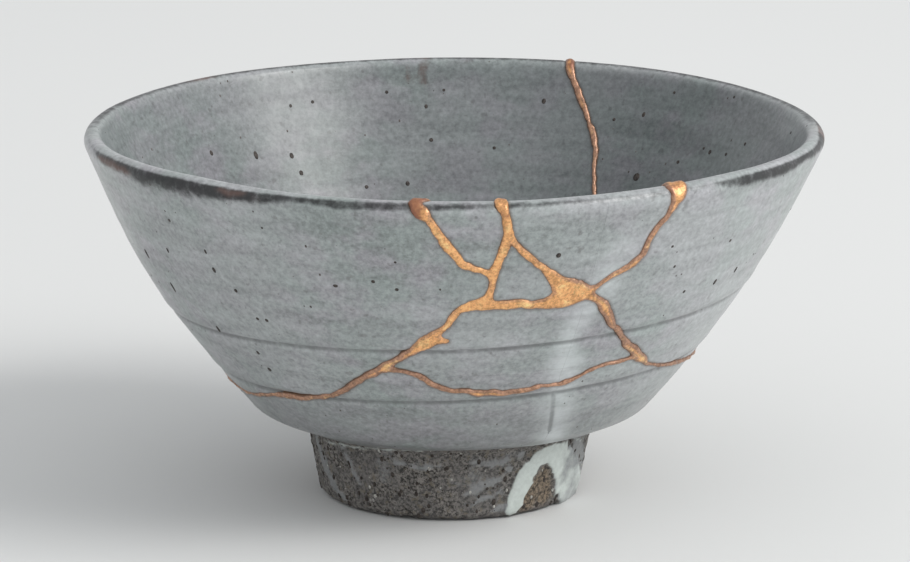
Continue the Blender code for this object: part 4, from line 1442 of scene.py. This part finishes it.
class TEABOWL_OT_studio(bpy.types.Operator):
    """Set the pale floor, the soft lights and the camera"""

    bl_idname = "teabowl.studio"
    bl_label = "Studio"

    def execute(self, context):
        settings = context.scene.tea_bowl.studio
        mesh = bmesh.new()
        bmesh.ops.create_circle(mesh, cap_ends=True, segments=96, radius=FLOOR_RADIUS)
        data = bpy.data.meshes.new("floor")
        mesh.to_mesh(data)
        mesh.free()
        colour = settings.floor_colour
        data.materials.append(mottled_material("pale_floor", colour, 3.0, 0.3, (0.99, 1.0), 0.1, 0.9))
        floor = bpy.data.objects.new("floor", data)
        context.scene.collection.objects.link(floor)

        world = bpy.data.worlds.new("soft_room")
        world.use_nodes = True
        background = world.node_tree.nodes["Background"]
        background.inputs["Color"].default_value = ROOM_COLOUR
        background.inputs["Strength"].default_value = settings.ambient
        context.scene.world = world

        powers = (settings.key_power, settings.fill_power)
        for (name, (place, side, colour)), power in zip(LAMPS.items(), powers):
            lamp = bpy.data.lights.new(name, "AREA")
            lamp.shape = "RECTANGLE"
            lamp.size = lamp.size_y = side
            lamp.energy = power
            lamp.color = colour
            lamp_object = bpy.data.objects.new(name, lamp)
            lamp_object.location = place
            aim = Vector(LAMP_AIM) - Vector(place)
            lamp_object.rotation_euler = aim.to_track_quat("-Z", "Y").to_euler()
            context.scene.collection.objects.link(lamp_object)

        camera = bpy.data.cameras.new("camera")
        camera.lens = settings.lens
        camera.sensor_width = SENSOR_WIDTH
        camera.sensor_fit = "HORIZONTAL"
        camera.clip_end = 20.0
        viewer = bpy.data.objects.new("camera", camera)
        elevation = settings.camera_elevation
        across = settings.camera_distance * math.cos(elevation)
        above = settings.camera_distance * math.sin(elevation)
        viewer.location = Vector(CAMERA_AIM) + Vector((0.0, -across, above))
        viewer.rotation_euler = (math.pi / 2 - elevation, 0.0, 0.0)
        context.scene.collection.objects.link(viewer)
        context.scene.camera = viewer
        context.scene.view_settings.view_transform = "Standard"
        return {"FINISHED"}


OPERATORS = (
    TEABOWL_OT_sherds,
    TEABOWL_OT_lacquer,
    TEABOWL_OT_iron_spots,
    TEABOWL_OT_iron_specks,
    TEABOWL_OT_foot_grit,
    TEABOWL_OT_studio,
)


class TEABOWL_PT_panel(bpy.types.Panel):
    """Lists the bowl's pieces and their settings"""

    bl_label = "Kintsugi Tea Bowl"
    bl_idname = "TEABOWL_PT_panel"
    bl_space_type = "VIEW_3D"
    bl_region_type = "UI"
    bl_category = "Tea Bowl"

    def draw(self, context):
        for operator in OPERATORS:
            self.layout.operator(operator.bl_idname)
        for group in ("sherds", "lacquer", "grains", "studio"):
            box = self.layout.box()
            settings = getattr(context.scene.tea_bowl, group)
            for name in settings.bl_rna.properties.keys():
                if name not in ("rna_type", "name"):
                    box.prop(settings, name)


CLASSES = (
    SherdSettings, LacquerSettings, GrainSettings, StudioSettings, TeaBowlSettings, *OPERATORS,
    TEABOWL_PT_panel,
)


def register():
    for cls in CLASSES:
        bpy.utils.register_class(cls)
    bpy.types.Scene.tea_bowl = PointerProperty(type=TeaBowlSettings)


def unregister():
    del bpy.types.Scene.tea_bowl
    for cls in reversed(CLASSES):
        bpy.utils.unregister_class(cls)


def main():
    register()
    bpy.ops.teabowl.sherds()
    bpy.ops.teabowl.lacquer()
    bpy.ops.teabowl.iron_spots()
    bpy.ops.teabowl.iron_specks()
    bpy.ops.teabowl.foot_grit()
    bpy.ops.teabowl.studio()


if __name__ == "__main__":
    main()
